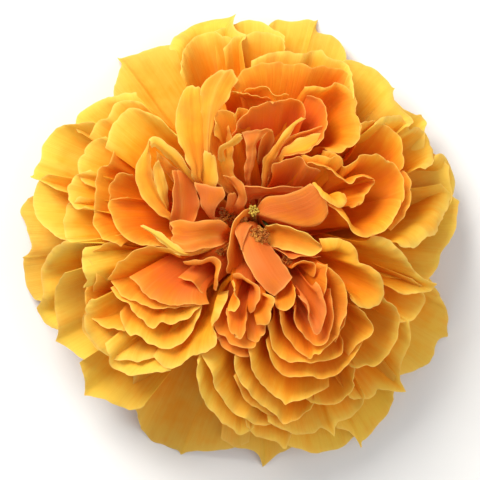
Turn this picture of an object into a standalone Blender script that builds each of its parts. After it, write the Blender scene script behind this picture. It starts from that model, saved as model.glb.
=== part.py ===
"""A full-blown, very double garden rose, picked with a short stem and lying face up on its outer petals.

The petal table is in millimetres from the eye of the bloom, which stands over the stem. +Z is up.
Each petal is a thin solid that runs from its claw on the receptacle to its margin on the dome of the bloom.
The petals are made from the innermost outwards, and each one gives way to those already in place.
"""
import math

import bmesh
import bpy
import numpy as np

# ------------------------------------------------------------------ driving dimensions, mm
MM = 0.001
STEM_RADIUS, STEM_TOP = 2.6, 8.0
HIP_BASE, HIP_TOP = 8.3, 18.35
HIP_RADIUS = 5.6                       # widest part of the hip
HIP_RIM_RADIUS = 7.3                   # receptacle that carries the petals
SEPAL_COUNT, SEPAL_LENGTH, SEPAL_WIDTH = 5, 25.0, 8.0
SEPAL_BEARING = 54.0                   # degrees, the first sepal
SEPAL_DROP = 9.5                       # how far a sepal's tip hangs under its foot
SEPAL_THICKNESS = (1.0, 0.8, 0.6)      # foot, middle, tip
STAMEN_BASE, STAMEN_TOP = 18.7, 34.0
STAMEN_RADIUS, STAMEN_HEAD_RADIUS = 2.05, 2.6
STAMEN_BORE = 1.1
STYLE_RADIUS, STYLE_TOP = 0.65, 33.3
PETAL_THICKNESS = (0.8, 0.6, 0.5)      # claw, middle, margin
CLAW_HALF_WIDTH = 0.9
BASE_Z = 18.8                          # foot of the claws
RINGS = (6.4, 5.5, 4.6, 3.7, 2.8)      # where the claws of each layer stand on the receptacle
CLEARANCE = 0.32                       # left between neighbouring pieces
CLEARANCES = (0.32, 0.36, 0.28, 0.42)  # tried in turn until a petal comes out as one closed skin
FLOOR_GAP = 0.6                        # margins that don't lie on the surface stay this far above it

# the bloom seen from above: its middle, its radius, and its height over that radius
CX, CY, RO = -4.6, -1.9, 56.0
DOME = ((0.0, 40.0), (0.2, 42.0), (0.4, 42.0), (0.6, 39.0), (0.75, 33.0),
        (0.85, 25.5), (0.93, 17.0), (1.0, 8.5), (1.1, 4.0))
# the table gives the bloom as it looks from this height over this point
SIGHT_X, SIGHT_Y, SIGHT_LEVEL, SIGHT_HEIGHT = -4.25, -2.0, 25.0, 833.0

PETAL_ROWS, PETAL_COLUMNS = 4, 7       # facets along and across a petal given by its margin
LEAF_ROWS, LEAF_COLUMNS = 7, 3         # facets along and across a petal given by its two sides
SMALLEST_GROUP = 0.3                   # share of a cut petal that its claw has to keep
LEAST_LEFT, MOST_LEFT = 0.45, 1.04     # share of a petal's surface that a sound cut leaves
SHARED_LIMIT = 0.005                   # mm3 that two petals may share before they are cut again
# how close points of a cut petal become one, and the bend in degrees under which its facets are joined
TIDY_SETTINGS = ((0.02, 1.5), (0.02, 0), (0.008, 1.5), (0.008, 0), (0.003, 1), (0.003, 0), (0.001, 0))
SMALLEST_FACE = 1e-7                   # mm2

for old in list(bpy.data.objects):
    bpy.data.objects.remove(old, do_unlink=True)


# ------------------------------------------------------------------ curves
def unit(a):
    return a / np.maximum(np.linalg.norm(a, axis=-1, keepdims=True), 1e-9)


def dome(x, y):
    """Height of the bloom's outside over a point."""
    rho = math.hypot(x - CX, y - CY) / RO
    return float(np.interp(rho, [a for a, b in DOME], [b for a, b in DOME]))


def placed(x, y, lift=0.0):
    """A point of the table moved out to its own height."""
    z = max(dome(x, y) + lift, FLOOR_GAP)
    grow = 1 + (SIGHT_LEVEL - z) / SIGHT_HEIGHT
    return (SIGHT_X + (x - SIGHT_X) * grow, SIGHT_Y + (y - SIGHT_Y) * grow, z)


def curve(points, count):
    """A smooth curve through the points, as count + 1 evenly spaced ones."""
    P = np.array(points, float)
    gap = np.linalg.norm(np.diff(P, axis=0), axis=1) ** 0.5
    t = np.concatenate([[0], np.cumsum(np.maximum(gap, 1e-6))])
    slope = np.zeros_like(P)
    for i in range(1, len(P) - 1):
        a, b = t[i] - t[i - 1], t[i + 1] - t[i]
        slope[i] = ((P[i] - P[i - 1]) / a * b + (P[i + 1] - P[i]) / b * a) / (a + b)
    slope[0] = 1.5 * (P[1] - P[0]) / (t[1] - t[0]) - 0.5 * slope[1]
    slope[-1] = 1.5 * (P[-1] - P[-2]) / (t[-1] - t[-2]) - 0.5 * slope[-2]
    q = np.linspace(t[0], t[-1], 400)
    k = np.clip(np.searchsorted(t, q, "right") - 1, 0, len(P) - 2)
    h = (t[k + 1] - t[k])[:, None]
    s = ((q - t[k]) / h[:, 0])[:, None]
    C = ((2 * s**3 - 3 * s**2 + 1) * P[k] + (s**3 - 2 * s**2 + s) * h * slope[k]
         + (-2 * s**3 + 3 * s**2) * P[k + 1] + (s**3 - s**2) * h * slope[k + 1])
    along = np.concatenate([[0], np.cumsum(np.linalg.norm(np.diff(C, axis=0), axis=1))])
    even = np.linspace(0, along[-1], count + 1)
    return np.stack([np.interp(even, along, C[:, c]) for c in range(3)], 1)


# ------------------------------------------------------------------ petal surfaces
def petal_surface(stand, rim, heart=(0, 0), ring=2, lean=20, rise=70, foot=0.38, flare=0.4, tips=(),
                  roll=(18, 1.2), wide=0.6, fan=0.3, rests=False):
    """Rows of points from the claw to the margin, and each row's place along the petal.

    The margin runs through the rim points on the dome. The blade leaves the receptacle at the angle rise, and
    reaches the margin leaning out from the heart at the angle lean. Its last row turns over by an angle and
    for a length, which roll gives.
    """
    points = [placed(p[0], p[1], p[2] if len(p) > 2 else 0.0) for p in rim]
    P3 = curve(points, PETAL_COLUMNS)
    v = np.linspace(0, 1, PETAL_COLUMNS + 1)
    up = np.array([0, 0, 1.0])
    middle = np.array([heart[0], heart[1], 0.0])
    out = (P3 - middle) * (1, 1, 0)
    out = unit((1 - fan) * unit(out) + fan * unit(out.mean(0)))
    angle = math.radians(lean)
    T = math.cos(angle) * out + math.sin(angle) * up
    turn, over = math.radians(roll[0]), roll[1]
    P3 = P3 - T * (over * np.sinc(turn / math.pi))

    # claw on the receptacle, foot and shoulder of the blade
    radius = RINGS[ring]
    mean = P3.mean(0)
    bearing = math.radians(stand)
    across = np.array([-math.sin(bearing), math.cos(bearing), 0.0])
    hand = np.sign((P3[-1] - P3[0]) @ across) or 1.0
    spread = bearing + hand * (v - 0.5) * 2 * CLAW_HALF_WIDTH / radius
    P0 = np.stack([radius * np.cos(spread), radius * np.sin(spread), np.full(len(v), BASE_Z)], 1)
    L = np.linalg.norm(P3 - P0, axis=1)
    L = 0.5 * L + 0.5 * L.mean()
    aim = unit((0.3 * P3 + 0.7 * mean - P0) * (1, 1, 0))
    side = (P3 - mean) @ across
    climb = math.cos(math.radians(rise)) * aim + math.sin(math.radians(rise)) * up
    P1 = P0 + (foot * L)[:, None] * climb + across * (wide * side)[:, None]
    reach = np.linalg.norm((P3 - middle)[:, :2], axis=1)
    P2 = P3 - np.minimum(flare * L, 0.75 * reach)[:, None] * T
    u = np.linspace(0, 1, PETAL_ROWS + 1) ** 0.85
    weights = [(1 - u) ** 3, 3 * u * (1 - u) ** 2, 3 * u**2 * (1 - u), u**3]
    G = sum(b[:, None, None] * P[None] for b, P in zip(weights, (P0, P1, P2, P3)))

    # the turned-over margin and its pointed tips
    ahead = unit(G[-1] - G[-2])
    normal = unit(np.cross(ahead, unit(np.gradient(G[-1], axis=0))))
    normal = normal * face_of(normal, out)
    last = G[-1] + (math.cos(turn / 2) * ahead - math.sin(turn / 2) * normal) * over
    for where, size, width in tips:
        last = last + ahead * (size * np.exp(-np.abs(v - where) / width))[:, None]
    G = np.concatenate([G, last[None]])
    q = travel(G)

    # the lowest margins lie on the surface, the others stay clear of it
    low = G[:, :, 2].min() - PETAL_THICKNESS[2] / 2
    if rests or low < FLOOR_GAP:
        G[:, :, 2] -= (low - (0.03 if rests else FLOOR_GAP)) * q**3
    return G, q


def leaf_surface(stand, left, right, ring=3, crown=0.0):
    """Rows of points of a petal that is stretched between its two sides, which are given from foot to tip."""
    sides = [[placed(*p) for p in side] for side in (left, right)]
    radius = RINGS[ring]
    bearing = math.radians(stand)
    across = np.array(sides[1][0]) - np.array(sides[0][0])
    hand = np.sign(-math.sin(bearing) * across[0] + math.cos(bearing) * across[1]) or 1.0
    for side, sign in zip(sides, (-hand, hand)):
        a = bearing + sign * CLAW_HALF_WIDTH / radius
        side.insert(0, (radius * math.cos(a), radius * math.sin(a), BASE_Z))
    A, B = curve(sides[0], LEAF_ROWS), curve(sides[1], LEAF_ROWS)
    v = np.linspace(0, 1, LEAF_COLUMNS + 1)
    G = A[:, None] * (1 - v)[None, :, None] + B[:, None] * v[None, :, None]
    along = unit(np.gradient((A + B) / 2, axis=0))
    normal = unit(np.cross(along, unit(B - A)))
    normal = normal * (np.sign(normal[LEAF_ROWS // 2:, 2].sum()) or 1.0)
    opened = np.clip(np.linspace(0, 1, LEAF_ROWS + 1) / 0.3, 0, 1)
    G = G + (crown * opened)[:, None, None] * np.sin(math.pi * v)[None, :, None] * normal[:, None]
    return G, travel(G)


def face_of(normal, out):
    """1 where the normals point up or towards the heart, and -1 where they point away."""
    return 1.0 if normal[:, 2].mean() - 0.3 * (normal * out).sum(1).mean() > 0 else -1.0


def travel(G):
    """Place of each point along its petal, 0 at the claw and 1 at the margin."""
    step = np.linalg.norm(np.diff(G, axis=0), axis=2)
    S = np.concatenate([np.zeros((1, G.shape[1])), np.cumsum(step, 0)])
    return S / S[-1][None]


def widened(G, by):
    """The same rows of points, grown past their edges."""
    G = np.concatenate([(G[0] + unit(G[0] - G[1]) * by)[None], G, (G[-1] + unit(G[-1] - G[-2]) * by)[None]])
    first, last = G[:, 0] + unit(G[:, 0] - G[:, 1]) * by, G[:, -1] + unit(G[:, -1] - G[:, -2]) * by
    return np.concatenate([first[:, None], G, last[:, None]], axis=1)


# ------------------------------------------------------------------ the petal table
petals = []


def petal(name, style, *rim, **own):
    """Lists a petal that is given by its margin: points from the eye, some with a lift over the dome."""
    petals.append((name, petal_surface, (rim,), {**style, **own}))


def leaf(name, style, left, right, **own):
    """Lists a petal that is given by its two sides, each from foot to tip."""
    look = {key: style[key] for key in ("ring", "tone") if key in style}
    petals.append((name, leaf_surface, (left, right), {**look, **own}))


GUARD = dict(ring=0, lean=-12, rise=28, roll=(15, 1.4), wide=0.75, tone=0)
petal("guard_01", GUARD, (-36, 33), (-36, 37), (-34, 42), (-33, 44.5), (-26, 46.5), (-20.5, 47.2),
      (-15, 47), tips=((0.42, 1.2, 0.03),), lean=-24, rests=True)
petal("guard_02", GUARD, (-20.5, 46, 2), (-18, 50, 2), (-14.5, 53.2, 2), (-10, 53.3, 2), (-7, 51, 3),
      (-4, 48, 4), tips=((0.62, 1.2, 0.03),), roll=(75, 4.5))
petal("guard_04", GUARD, (2.2, 50), (5, 53.4), (9, 53), (13.2, 53), (15, 50.2), (19, 49.5), (21.5, 47),
      (22.5, 42), tips=((0.5, 1.6, 0.035),), lean=-24, rests=True)
petal("guard_05", GUARD, (22, 42), (24, 43, 1), (28, 41.5, 1), (32, 38.6, 1), (33, 36.5, 1), (34.5, 33, 1),
      (38, 29.5, 2), (37.5, 26.5, 4), tips=((0.5, 1, 0.03),), roll=(50, 3))
petal("guard_06", GUARD, (33, 34, -1), (38, 30, -1), (42, 27.6, -1), (41.8, 24, -1), (43, 20, -1),
      tips=((0.48, 0.8, 0.04),))
petal("guard_07", GUARD, (40, 24, -1), (44, 20), (46.5, 17.5), (48, 13), (48.8, 9), (46, 4),
      tips=((0.4, 0.7, 0.04),))
petal("guard_08", GUARD, (46, 12), (49, 8.5), (50, 6), (49.3, 0), (46, -5.5), (45.5, -8), (42, -13),
      tips=((0.22, 0.8, 0.03),))
petal("guard_09", GUARD, (43, -11, 2), (46, -16, 1), (48.2, -22.5), (45.8, -26.5), (44, -31),
      (42.5, -33.3), (38, -35.5), (34, -36.5), tips=((0.53, 1, 0.03),), lean=-24, rests=True)
petal("guard_10", GUARD, (34.7, -36), (34.3, -40), (33, -45), (29, -50), (26.8, -51.5), (24.3, -50.2),
      (20, -49), tips=((0.74, 1.6, 0.05),))
petal("guard_11", GUARD, (25, -50, -1), (21, -54, -1), (15, -55.3, -1), (10, -54, -1), (4, -52, -1))
petal("guard_12", GUARD, (12, -53), (7, -55.3, -1), (3, -56.5, -1), (-1, -55, -1), (-6, -54, -1),
      (-9, -52), tips=((0.42, 2.2, 0.05),), lean=-24, rests=True)
petal("guard_13", GUARD, (-2, -53), (-8, -55), (-14, -55.4), (-18.5, -55), (-23, -54.2), (-27.5, -52),
      (-30.5, -45), (-31.2, -36), tips=((0.44, 1.5, 0.035),), lean=-24, rests=True)
petal("guard_14", GUARD, (-28, -43.5), (-33, -44.3), (-38, -42), (-42, -40), (-43.3, -36), (-44.5, -33),
      tips=((0.68, 0.9, 0.04),))
petal("guard_15", GUARD, (-43, -32, 1), (-46, -30), (-49, -27), (-49.5, -24), (-50.5, -19),
      (-50.5, -15, 1), (-48, -10, 3), tips=((0.3, 1, 0.04),), rise=36)
petal("guard_16", GUARD, (-50, -24, 1), (-54, -20.8, 1), (-53.3, -16, 2), (-54.3, -11.5, 3), (-52, -7, 4),
      (-47, -2.5, 6), tips=((0.2, 0.9, 0.04),), rise=36, roll=(60, 3))
petal("guard_17", GUARD, (-53, -17.8), (-57, -16), (-59, -11), (-58.8, -7.5), (-57, -4), (-58.2, 1),
      (-59.5, 6), (-55, 10), tips=((0.42, 0.7, 0.02),), lean=-24, rests=True)
petal("guard_18", GUARD, (-46, -3, 5), (-51, 0, 3), (-55, 3.5, 2), (-56, 8, 1), (-55, 12, 1),
      (-52, 14.5, 1), rise=34)
petal("guard_19", GUARD, (-51, 12, 1), (-55.5, 15.3, 1), (-54, 18), (-53.5, 21.5), (-51, 25.2), (-46, 27),
      (-41, 27.5, 2), tips=((0.22, 1, 0.03),))
petal("guard_20", GUARD, (-46.5, 26, -1), (-45, 29, -1), (-40, 32.6, -1), (-36, 33.6), (-30, 34.5, 1),
      roll=(50, 3))

OUTER = dict(ring=1, lean=5, rise=48, roll=(20, 1.3), wide=0.7, tone=0.2)
petal("outer_01", OUTER, (-8, 46, 3), (-6, 48.3, 3), (-2, 49.6, 3), (2.5, 50, 3), (5.7, 49.3, 3),
      (6.7, 46, 4))
petal("outer_03", OUTER, (-1, 43, 3), (3, 44.6, 3), (7.5, 45.2, 3), (12, 44.6, 3), (14, 45, 3),
      (18, 43.6, 3), (22.5, 42, 3), (24, 37, 3), (24.5, 33, 3), tips=((0.48, 0.8, 0.03),), rise=52)
petal("outer_05", OUTER, (44.5, 18, 2), (47.5, 15, 1), (48, 11, 1), (46, 6.5, 2), (44, 3.5, 3),
      (40, 0.3, 4), (36, -2.2, 5), lean=20, roll=(85, 5.5))
petal("outer_06", OUTER, (29, -0.5, 2), (34, -2.8, 2), (37.5, -7, 2), (40, -11, 2), (43, -14, 2),
      (39, -14, 2), (35, -13, 1), tips=((0.6, 1.4, 0.05),), roll=(60, 2.4), heart=(30, -8))
petal("outer_08", OUTER, (38, -22, 2), (38.2, -28, 2), (36, -33, 2), (34.6, -38.5, 1), (31, -40, 1),
      (28, -41.5, 1), (23, -41.5, 2), tips=((0.55, 1.2, 0.03),))
petal("outer_09", OUTER, (27, -41, 3), (25, -45, 2), (22, -47, 2), (19, -47.5, 2), (17.5, -48.6, 2),
      (12, -50.7, 2), (8, -50, 2), (3, -47.5, 3), tips=((0.42, 1.4, 0.03),))
petal("outer_11", OUTER, (-1, -49, 2), (-4, -50.7, 2), (-7.5, -48.5, 2), (-11, -45, 2), (-14, -40.5, 2),
      (-15, -36, 2), (-15, -32, 2))
petal("outer_12", OUTER, (-22, -34.6, 4), (-27, -35.2, 3), (-32, -35.8, 3), (-36, -34, 3), (-37, -31, 4),
      (-38, -28, 4))
petal("outer_13", OUTER, (-36.5, -31, 3), (-39, -29.5, 3), (-42.3, -25.5, 3), (-42.7, -21, 3),
      (-41, -17, 4), roll=(55, 3))
petal("outer_19", OUTER, (-38, 21, 4), (-36.8, 25, 4), (-34.5, 29, 4), (-31, 31, 4), (-27, 29.5, 4),
      (-22, 26, 4), (-18, 23, 4))

TOP = dict(heart=(8, 28), lean=42, rise=74, roll=(38, 1.2), tone=0.55)
petal("top_04", TOP, (-6.2, 24.3), (-5, 27, 1), (-3.4, 29.3, 2), (-1, 30.8, 2.5), (2.5, 32.3, 3),
      (5, 32.8, 3), (7, 32.8, 3), (8.6, 33.4, 3), (10.2, 33.2, 3), (11.5, 31.8, 2.5), (12, 29.8, 2),
      (12, 28.4, 1), heart=(3, 26), lean=72, tone=0.8, fan=0.1)
petal("top_05", TOP, (13, 34.8, 1), (15, 34.3, 2), (17.6, 31.6, 2), (17.7, 27, 2), (17, 23.3, 2),
      ring=1, rise=66, lean=40, tone=0.8)
leaf("top_12", TOP, stand=120, crown=1.0, tone=0.2, left=((-15.8, 13.5, -1), (-16.8, 16, 0.5),
      (-18.3, 19.5, 1.2), (-20, 24, 1.8), (-20.3, 28, 2), (-19.8, 32, 2.3), (-18.4, 35.6, 2.5)),
      right=((-15.2, 13.5, -1.5), (-14.6, 16, -0.3), (-13.6, 19, 0.5), (-13.6, 23, 1), (-14.6, 27, 1.4),
      (-15.2, 31, 1.8), (-15.2, 35.2, 2.2)))
petal("top_02", TOP, (14, 36.2, 3), (18, 36, 3), (21, 36.3, 3), (23.9, 34, 2), (24.6, 30, 2),
      (25.4, 26.5, 2), (24.6, 23, 2), lean=25, roll=(20, 1.2))

RIGHT = dict(heart=(27, 9), lean=35, rise=70, roll=(38, 1.2), tone=0.5)
petal("right_01", RIGHT, (20.5, 18.5, 2), (21.7, 16.2, 1), (23.5, 17, 2), (26, 19, 2), (29, 19.7, 2),
      (33, 18, 2), (36, 14.5, 2), (36.5, 10, 2), (35.3, 5, 1), lean=50)
petal("right_02", RIGHT, (36, 8, 3), (35, 4.5, 3), (33, 1.5, 3), (30, -0.7, 3), (27, -1.4, 3),
      (24, 0.3, 3), (21.3, 3.8, 3), (17.5, 7, 1), lean=45)
petal("right_03", RIGHT, (25, 24, 2), (25.8, 26.8, 2), (29, 27.7, 2), (33, 26.3, 2), (36, 23, 2),
      (36.8, 19.5, 2), (36.3, 16, 2))

LOW = dict(heart=(14, -18), lean=56, rise=76, roll=(38, 1.2), tone=0.5)
petal("low_01", LOW, (17, -1.9, 2), (22, -2, 2), (25, -4.8, 2), (25.8, -8, 2), (29.5, -10.5, 2),
      (31.3, -14, 1), (30.8, -17.5, 1), (28, -18.9, 1), (25.5, -18, 1), heart=(22, -9), lean=0,
      roll=(25, 1.4), tone=0.25)
petal("low_04", LOW, (5.8, -22, 1), (8, -27, 1), (11, -30.2, 1), (13.3, -31.6, 1), (14.5, -30, 1),
      (18, -28, 1), (21.3, -24, 1), tips=((0.45, 1, 0.03),), lean=40, tone=0.6)
petal("low_06", LOW, (2.5, -27, 1), (4.5, -33.5, 1), (8, -36.4, 1), (12, -36.1, 1), (17, -36.6, 1),
      (21, -34.8, 1), (25, -30, 1), (26.7, -27, 1))
petal("low_08", LOW, (-2.2, -29, 1), (-1, -35, 1), (2, -38.7, 1), (5, -41, 1), (10, -42.2, 1),
      (14, -41, 1), (18, -38.6, 1), tone=0.4)
petal("low_10", LOW, (-5.7, -31, 1), (-4.5, -36.5, 1), (-1, -41.5, 1), (4, -45, 1), (8, -47, 1),
      (12, -45.5, 1), (14, -42, 1), tips=((0.7, 0.9, 0.05),), tone=0.3)

MID = dict(heart=(-3, -19), ring=3, lean=30, rise=78, roll=(25, 0.8), tone=0.6)
petal("mid_01", MID, (-11, -23, 1), (-9, -25.8, 1), (-6, -28, 1), (-2.5, -29.3, 1), (-0.7, -28.8, 1),
      (0.5, -26, 1))

LEFT = dict(heart=(-24, -12), lean=48, rise=74, roll=(38, 1.2), tone=0.5)
petal("left_01", LEFT, (-37.3, -12, 2), (-35, -8.2, 2), (-31.5, -5.2, 2), (-28, -4, 2), (-23, -4, 2),
      (-19, -5.5, 2), lean=50)
petal("left_02", LEFT, (-32, -11.3, 2), (-29.5, -13.7, 2), (-27, -16.2, 2), (-23.5, -18, 2),
      (-19, -18.2, 2), (-12, -18, 1), heart=(-20, -9), lean=8, tone=0.8)
petal("left_05", LEFT, (-34.3, -20, 1), (-32.8, -24, 1), (-30, -25, 1), (-26.5, -28, 1), (-23, -29.2, 1),
      (-19, -28, 1), (-16, -24, 1), (-13.5, -18.5, 1), tips=((0.2, 0.9, 0.05),), tone=0.35)
petal("left_08", LEFT, (-26, -31, 2), (-24, -33, 2), (-21, -34.3, 2), (-18, -32, 2), (-15, -30.7, 2),
      (-11.5, -29.4, 2), (-9.8, -27.5, 2), (-11.2, -24, 2), (-7.5, -20, 2), (-6, -13, 2),
      heart=(-15, -21), ring=1, lean=5, tone=0.15)

RING = dict(heart=(-26, 7), lean=52, rise=74, roll=(38, 1.2), tone=0.55)
petal("ring_01", RING, (-32.5, 8.4, 2), (-34.5, 8.2, 2), (-36, 7.6, 2), (-36.8, 6.3, 2), (-36.3, 4, 2),
      (-35.5, 2, 2), (-34.5, 0, 2), (-33, -1.6, 2), (-31, -2.7, 2), (-28.5, -3.3, 1.5), (-26, -3.6, 1),
      (-21, -3.9), heart=(-27, 5), lean=46)
leaf("ring_02", RING, stand=165, crown=1.0, tone=0.5, left=((-20.5, 2.2, -4), (-22.5, 3.2, -1.5),
      (-25, 4.6, 0.3), (-27, 6.6, 1.2), (-28.8, 9, 2), (-30, 12, 2.6), (-30.4, 14.5, 3), (-30, 17, 3.2),
      (-29, 19, 3.2), (-28, 20.3, 3.4), (-27.2, 22.5, 3.6)), right=((-20.8, 3.5, -6), (-22.3, 5.5, -4),
      (-23.8, 8, -2.5), (-25.2, 11, -1), (-26.2, 13.5, 0.5), (-26.4, 15.5, 1.5), (-26.5, 17.5, 2.2),
      (-26.8, 19.5, 2.8), (-27, 21, 3.2), (-26.8, 22.8, 3.6)))

HEART = dict(heart=(0, 0), ring=4, lean=20, rise=80, roll=(12, 0.5), tone=0.9)
leaf("heart_01", HEART, stand=190, crown=0.7, tone=0.95, left=((-1.5, 1.5, -7), (-4.6, 1.6, -3.5),
      (-5.3, -0.3, -2), (-4.2, -3.5, -1), (-3, -7, 0), (-1, -10.5, 1), (1.3, -13.6, 1), (4.3, -16, 0.5)),
      right=((1, 0.5, -8), (2, -1.2, -6.5), (2.6, -2.6, -5.5), (4.2, -4.5, -4), (5.8, -6.8, -2.5),
      (7.4, -9.2, -1.2), (8.8, -11.3, -0.5)))
leaf("heart_03", HEART, stand=-15, crown=-1.6, tone=0.3, left=((1.5, 0.5, -7), (2.5, 1.6, -4.5),
      (5, 1.9, -2.5), (8, 1.3, -1), (11, 0.3, -0.3), (13.7, -1.3, 0), (15.6, -3, 0)), right=((2, -2, -8.5),
      (3.8, -3.4, -6.5), (6.5, -4.3, -4.5), (9, -5, -3), (12, -5.8, -1.5), (14.3, -5.9, -0.8),
      (15.9, -4.6, -0.3)))
leaf("heart_04", HEART, stand=35, crown=1.6, tone=0.75, left=((0.2, 5.5, -7), (0.8, 7.2, -4.5),
      (2.2, 8.7, -2.2), (4.5, 9.2, -0.8), (7, 9.4, 0.2), (10, 10.3, 0.8), (13.4, 12.1, 1)),
      right=((1.5, 3.2, -9), (4, 2.6, -6.5), (7.5, 1.4, -5), (10.5, 1, -3.8), (13.5, 1.4, -2.8),
      (16, 2.3, -2), (17.6, 4.3, -1.5)))


# ------------------------------------------------------------------ meshes
def srgb(*values):
    """A colour given as 0..255 screen values, as linear ones."""
    c = np.array(values) / 255
    return np.where(c <= 0.04045, c / 12.92, ((c + 0.055) / 1.055) ** 2.4)


def material(name, colour, rough):
    made = bpy.data.materials.new(name)
    made.use_nodes = True
    surface = made.node_tree.nodes["Principled BSDF"]
    surface.inputs["Base Color"].default_value = (*colour, 1)
    surface.inputs["Roughness"].default_value = rough
    surface.inputs["Metallic"].default_value = 0.0
    return made


def mesh_object(name, V, F):
    """A triangulated object from points in millimetres, with its faces pointing out."""
    mesh = bpy.data.meshes.new(name)
    mesh.from_pydata((np.asarray(V, float) * MM).tolist(), [], [tuple(int(i) for i in f) for f in F])
    body = bpy.data.objects.new(name, mesh)
    bpy.context.scene.collection.objects.link(body)
    bm = bmesh.new()
    bm.from_mesh(mesh)
    bmesh.ops.triangulate(bm, faces=bm.faces[:])
    bmesh.ops.recalc_face_normals(bm, faces=bm.faces[:])
    bm.to_mesh(mesh)
    bm.free()
    return body


def sheet_solid(G, q, thickness, extra=0.0):
    """A closed body around rows of points: its vertices and faces."""
    rows, columns = G.shape[0] - 1, G.shape[1] - 1
    N = unit(np.cross(unit(np.gradient(G, axis=0)), unit(np.gradient(G, axis=1))))
    half = np.interp(q, [0, 0.5, 1.0], thickness) / 2 + extra
    V = np.concatenate([(G + N * half[..., None]).reshape(-1, 3), (G - N * half[..., None]).reshape(-1, 3)])
    count = (rows + 1) * (columns + 1)
    index = np.arange(count).reshape(rows + 1, columns + 1)
    a, b, c, d = index[:-1, :-1], index[:-1, 1:], index[1:, 1:], index[1:, :-1]
    top = np.stack([a, d, c, b], -1).reshape(-1, 4)
    bottom = np.stack([a, b, c, d], -1).reshape(-1, 4) + count
    loop = np.concatenate([index[0, :-1], index[:-1, -1], index[-1, :0:-1], index[:0:-1, 0]])
    after = np.roll(loop, -1)
    return V, np.concatenate([top, bottom, np.stack([loop, after, after + count, loop + count], -1)])


def turned(profile, sides, bored=False):
    """A body of revolution from (radius, height) points; a bored one is a closed ring."""
    V, F = [], []
    for radius, z in profile:
        for k in range(sides):
            t = 2 * math.pi * k / sides
            V.append((radius * math.cos(t), radius * math.sin(t), z))
    steps = len(profile) if bored else len(profile) - 1
    for i in range(steps):
        j = (i + 1) % len(profile)
        for k in range(sides):
            n = (k + 1) % sides
            F.append((i * sides + k, i * sides + n, j * sides + n, j * sides + k))
    if not bored:
        F.append(tuple(range(sides - 1, -1, -1)))
        F.append(tuple((len(profile) - 1) * sides + k for k in range(sides)))
    return V, F


# ------------------------------------------------------------------ cutting
def boolean(body, tool, operation, knotted=False, solver="EXACT"):
    """The mesh that the body would have after a Boolean with the tool."""
    step = body.modifiers.new("trim", "BOOLEAN")
    step.operation = operation
    step.solver = solver
    step.use_self = knotted
    step.object = tool
    graph = bpy.context.evaluated_depsgraph_get()
    result = bpy.data.meshes.new_from_object(body.evaluated_get(graph))
    body.modifiers.clear()
    return result


def area_of(mesh):
    return sum(face.area for face in mesh.polygons)


def cut(body, tool, knotted=False):
    """Takes the tool's volume out of the body.

    A result with far less surface than before, or with more, has failed. A knotted mesh takes a slower way.
    """
    for careful in ((True,) if knotted else (False, True)):
        result = boolean(body, tool, "DIFFERENCE", careful)
        old = body.data
        if LEAST_LEFT <= area_of(result) / area_of(old) <= MOST_LEFT:
            body.data = result
            bpy.data.meshes.remove(old)
            return
        bpy.data.meshes.remove(result)


def shared_volume(a, b):
    """Volume that two bodies share, in cubic millimetres. The exact solver misses some thin overlaps."""
    result = boolean(a, b, "INTERSECT", solver="MANIFOLD")
    bm = bmesh.new()
    bm.from_mesh(result)
    volume = abs(bm.calc_volume()) / MM**3 if bm.faces else 0.0
    bm.free()
    bpy.data.meshes.remove(result)
    return volume


def boxes_meet(a, b):
    A, B = (np.array([v.co[:] for v in body.data.vertices]) for body in (a, b))
    return bool(np.all(A.min(0) < B.max(0)) and np.all(B.min(0) < A.max(0)))


def face_groups(bm):
    """The faces of a mesh, in groups that hang together."""
    seen, groups = set(), []
    for start in bm.faces:
        if start in seen:
            continue
        seen.add(start)
        waiting, group = [start], []
        while waiting:
            face = waiting.pop()
            group.append(face)
            for edge in face.edges:
                if len(edge.link_faces) != 2:
                    continue
                for other in edge.link_faces:
                    if other not in seen:
                        seen.add(other)
                        waiting.append(other)
        groups.append(group)
    return groups


def claw_distance(group):
    """How close a group of faces comes to the receptacle's middle ring, in metres."""
    ring = RINGS[2] * MM
    return min(math.hypot(math.hypot(v.co.x, v.co.y) - ring, v.co.z - BASE_Z * MM)
               for face in group for v in face.verts)


def tidied(mesh, distance, flat):
    """The piece of a cut petal that stands on the receptacle, or the largest where that is a sliver."""
    bm = bmesh.new()
    bm.from_mesh(mesh)
    bmesh.ops.remove_doubles(bm, verts=bm.verts[:], dist=distance * MM)
    bmesh.ops.dissolve_degenerate(bm, edges=bm.edges[:], dist=distance / 2 * MM)
    groups = face_groups(bm)
    areas = [sum(face.calc_area() for face in group) for group in groups]
    best = min(range(len(groups)), key=lambda i: claw_distance(groups[i]))
    if areas[best] < SMALLEST_GROUP * sum(areas):
        best = areas.index(max(areas))
    loose = [face for i, group in enumerate(groups) if i != best for face in group]
    bmesh.ops.delete(bm, geom=loose, context="FACES")
    bmesh.ops.delete(bm, geom=[edge for edge in bm.edges if not edge.link_faces], context="EDGES")
    bmesh.ops.delete(bm, geom=[vert for vert in bm.verts if not vert.link_faces], context="VERTS")
    if flat:
        bmesh.ops.dissolve_limit(bm, angle_limit=math.radians(flat), verts=bm.verts[:], edges=bm.edges[:])
    bmesh.ops.triangulate(bm, faces=bm.faces[:])
    return bm


def is_sound(bm):
    """True for one closed skin without slivers."""
    closed = all(part.is_manifold for parts in (bm.edges, bm.verts) for part in parts)
    return closed and min(face.calc_area() for face in bm.faces) > SMALLEST_FACE * MM**2


def keep_seated(body):
    """Tidies a cut petal with the first of the settings that leaves it sound, and tells whether one did."""
    for distance, flat in TIDY_SETTINGS:
        bm = tidied(body.data, distance, flat)
        sound = is_sound(bm)
        if sound:
            bmesh.ops.recalc_face_normals(bm, faces=bm.faces[:])
            bm.to_mesh(body.data)
        bm.free()
        if sound:
            return True
    return False


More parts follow.
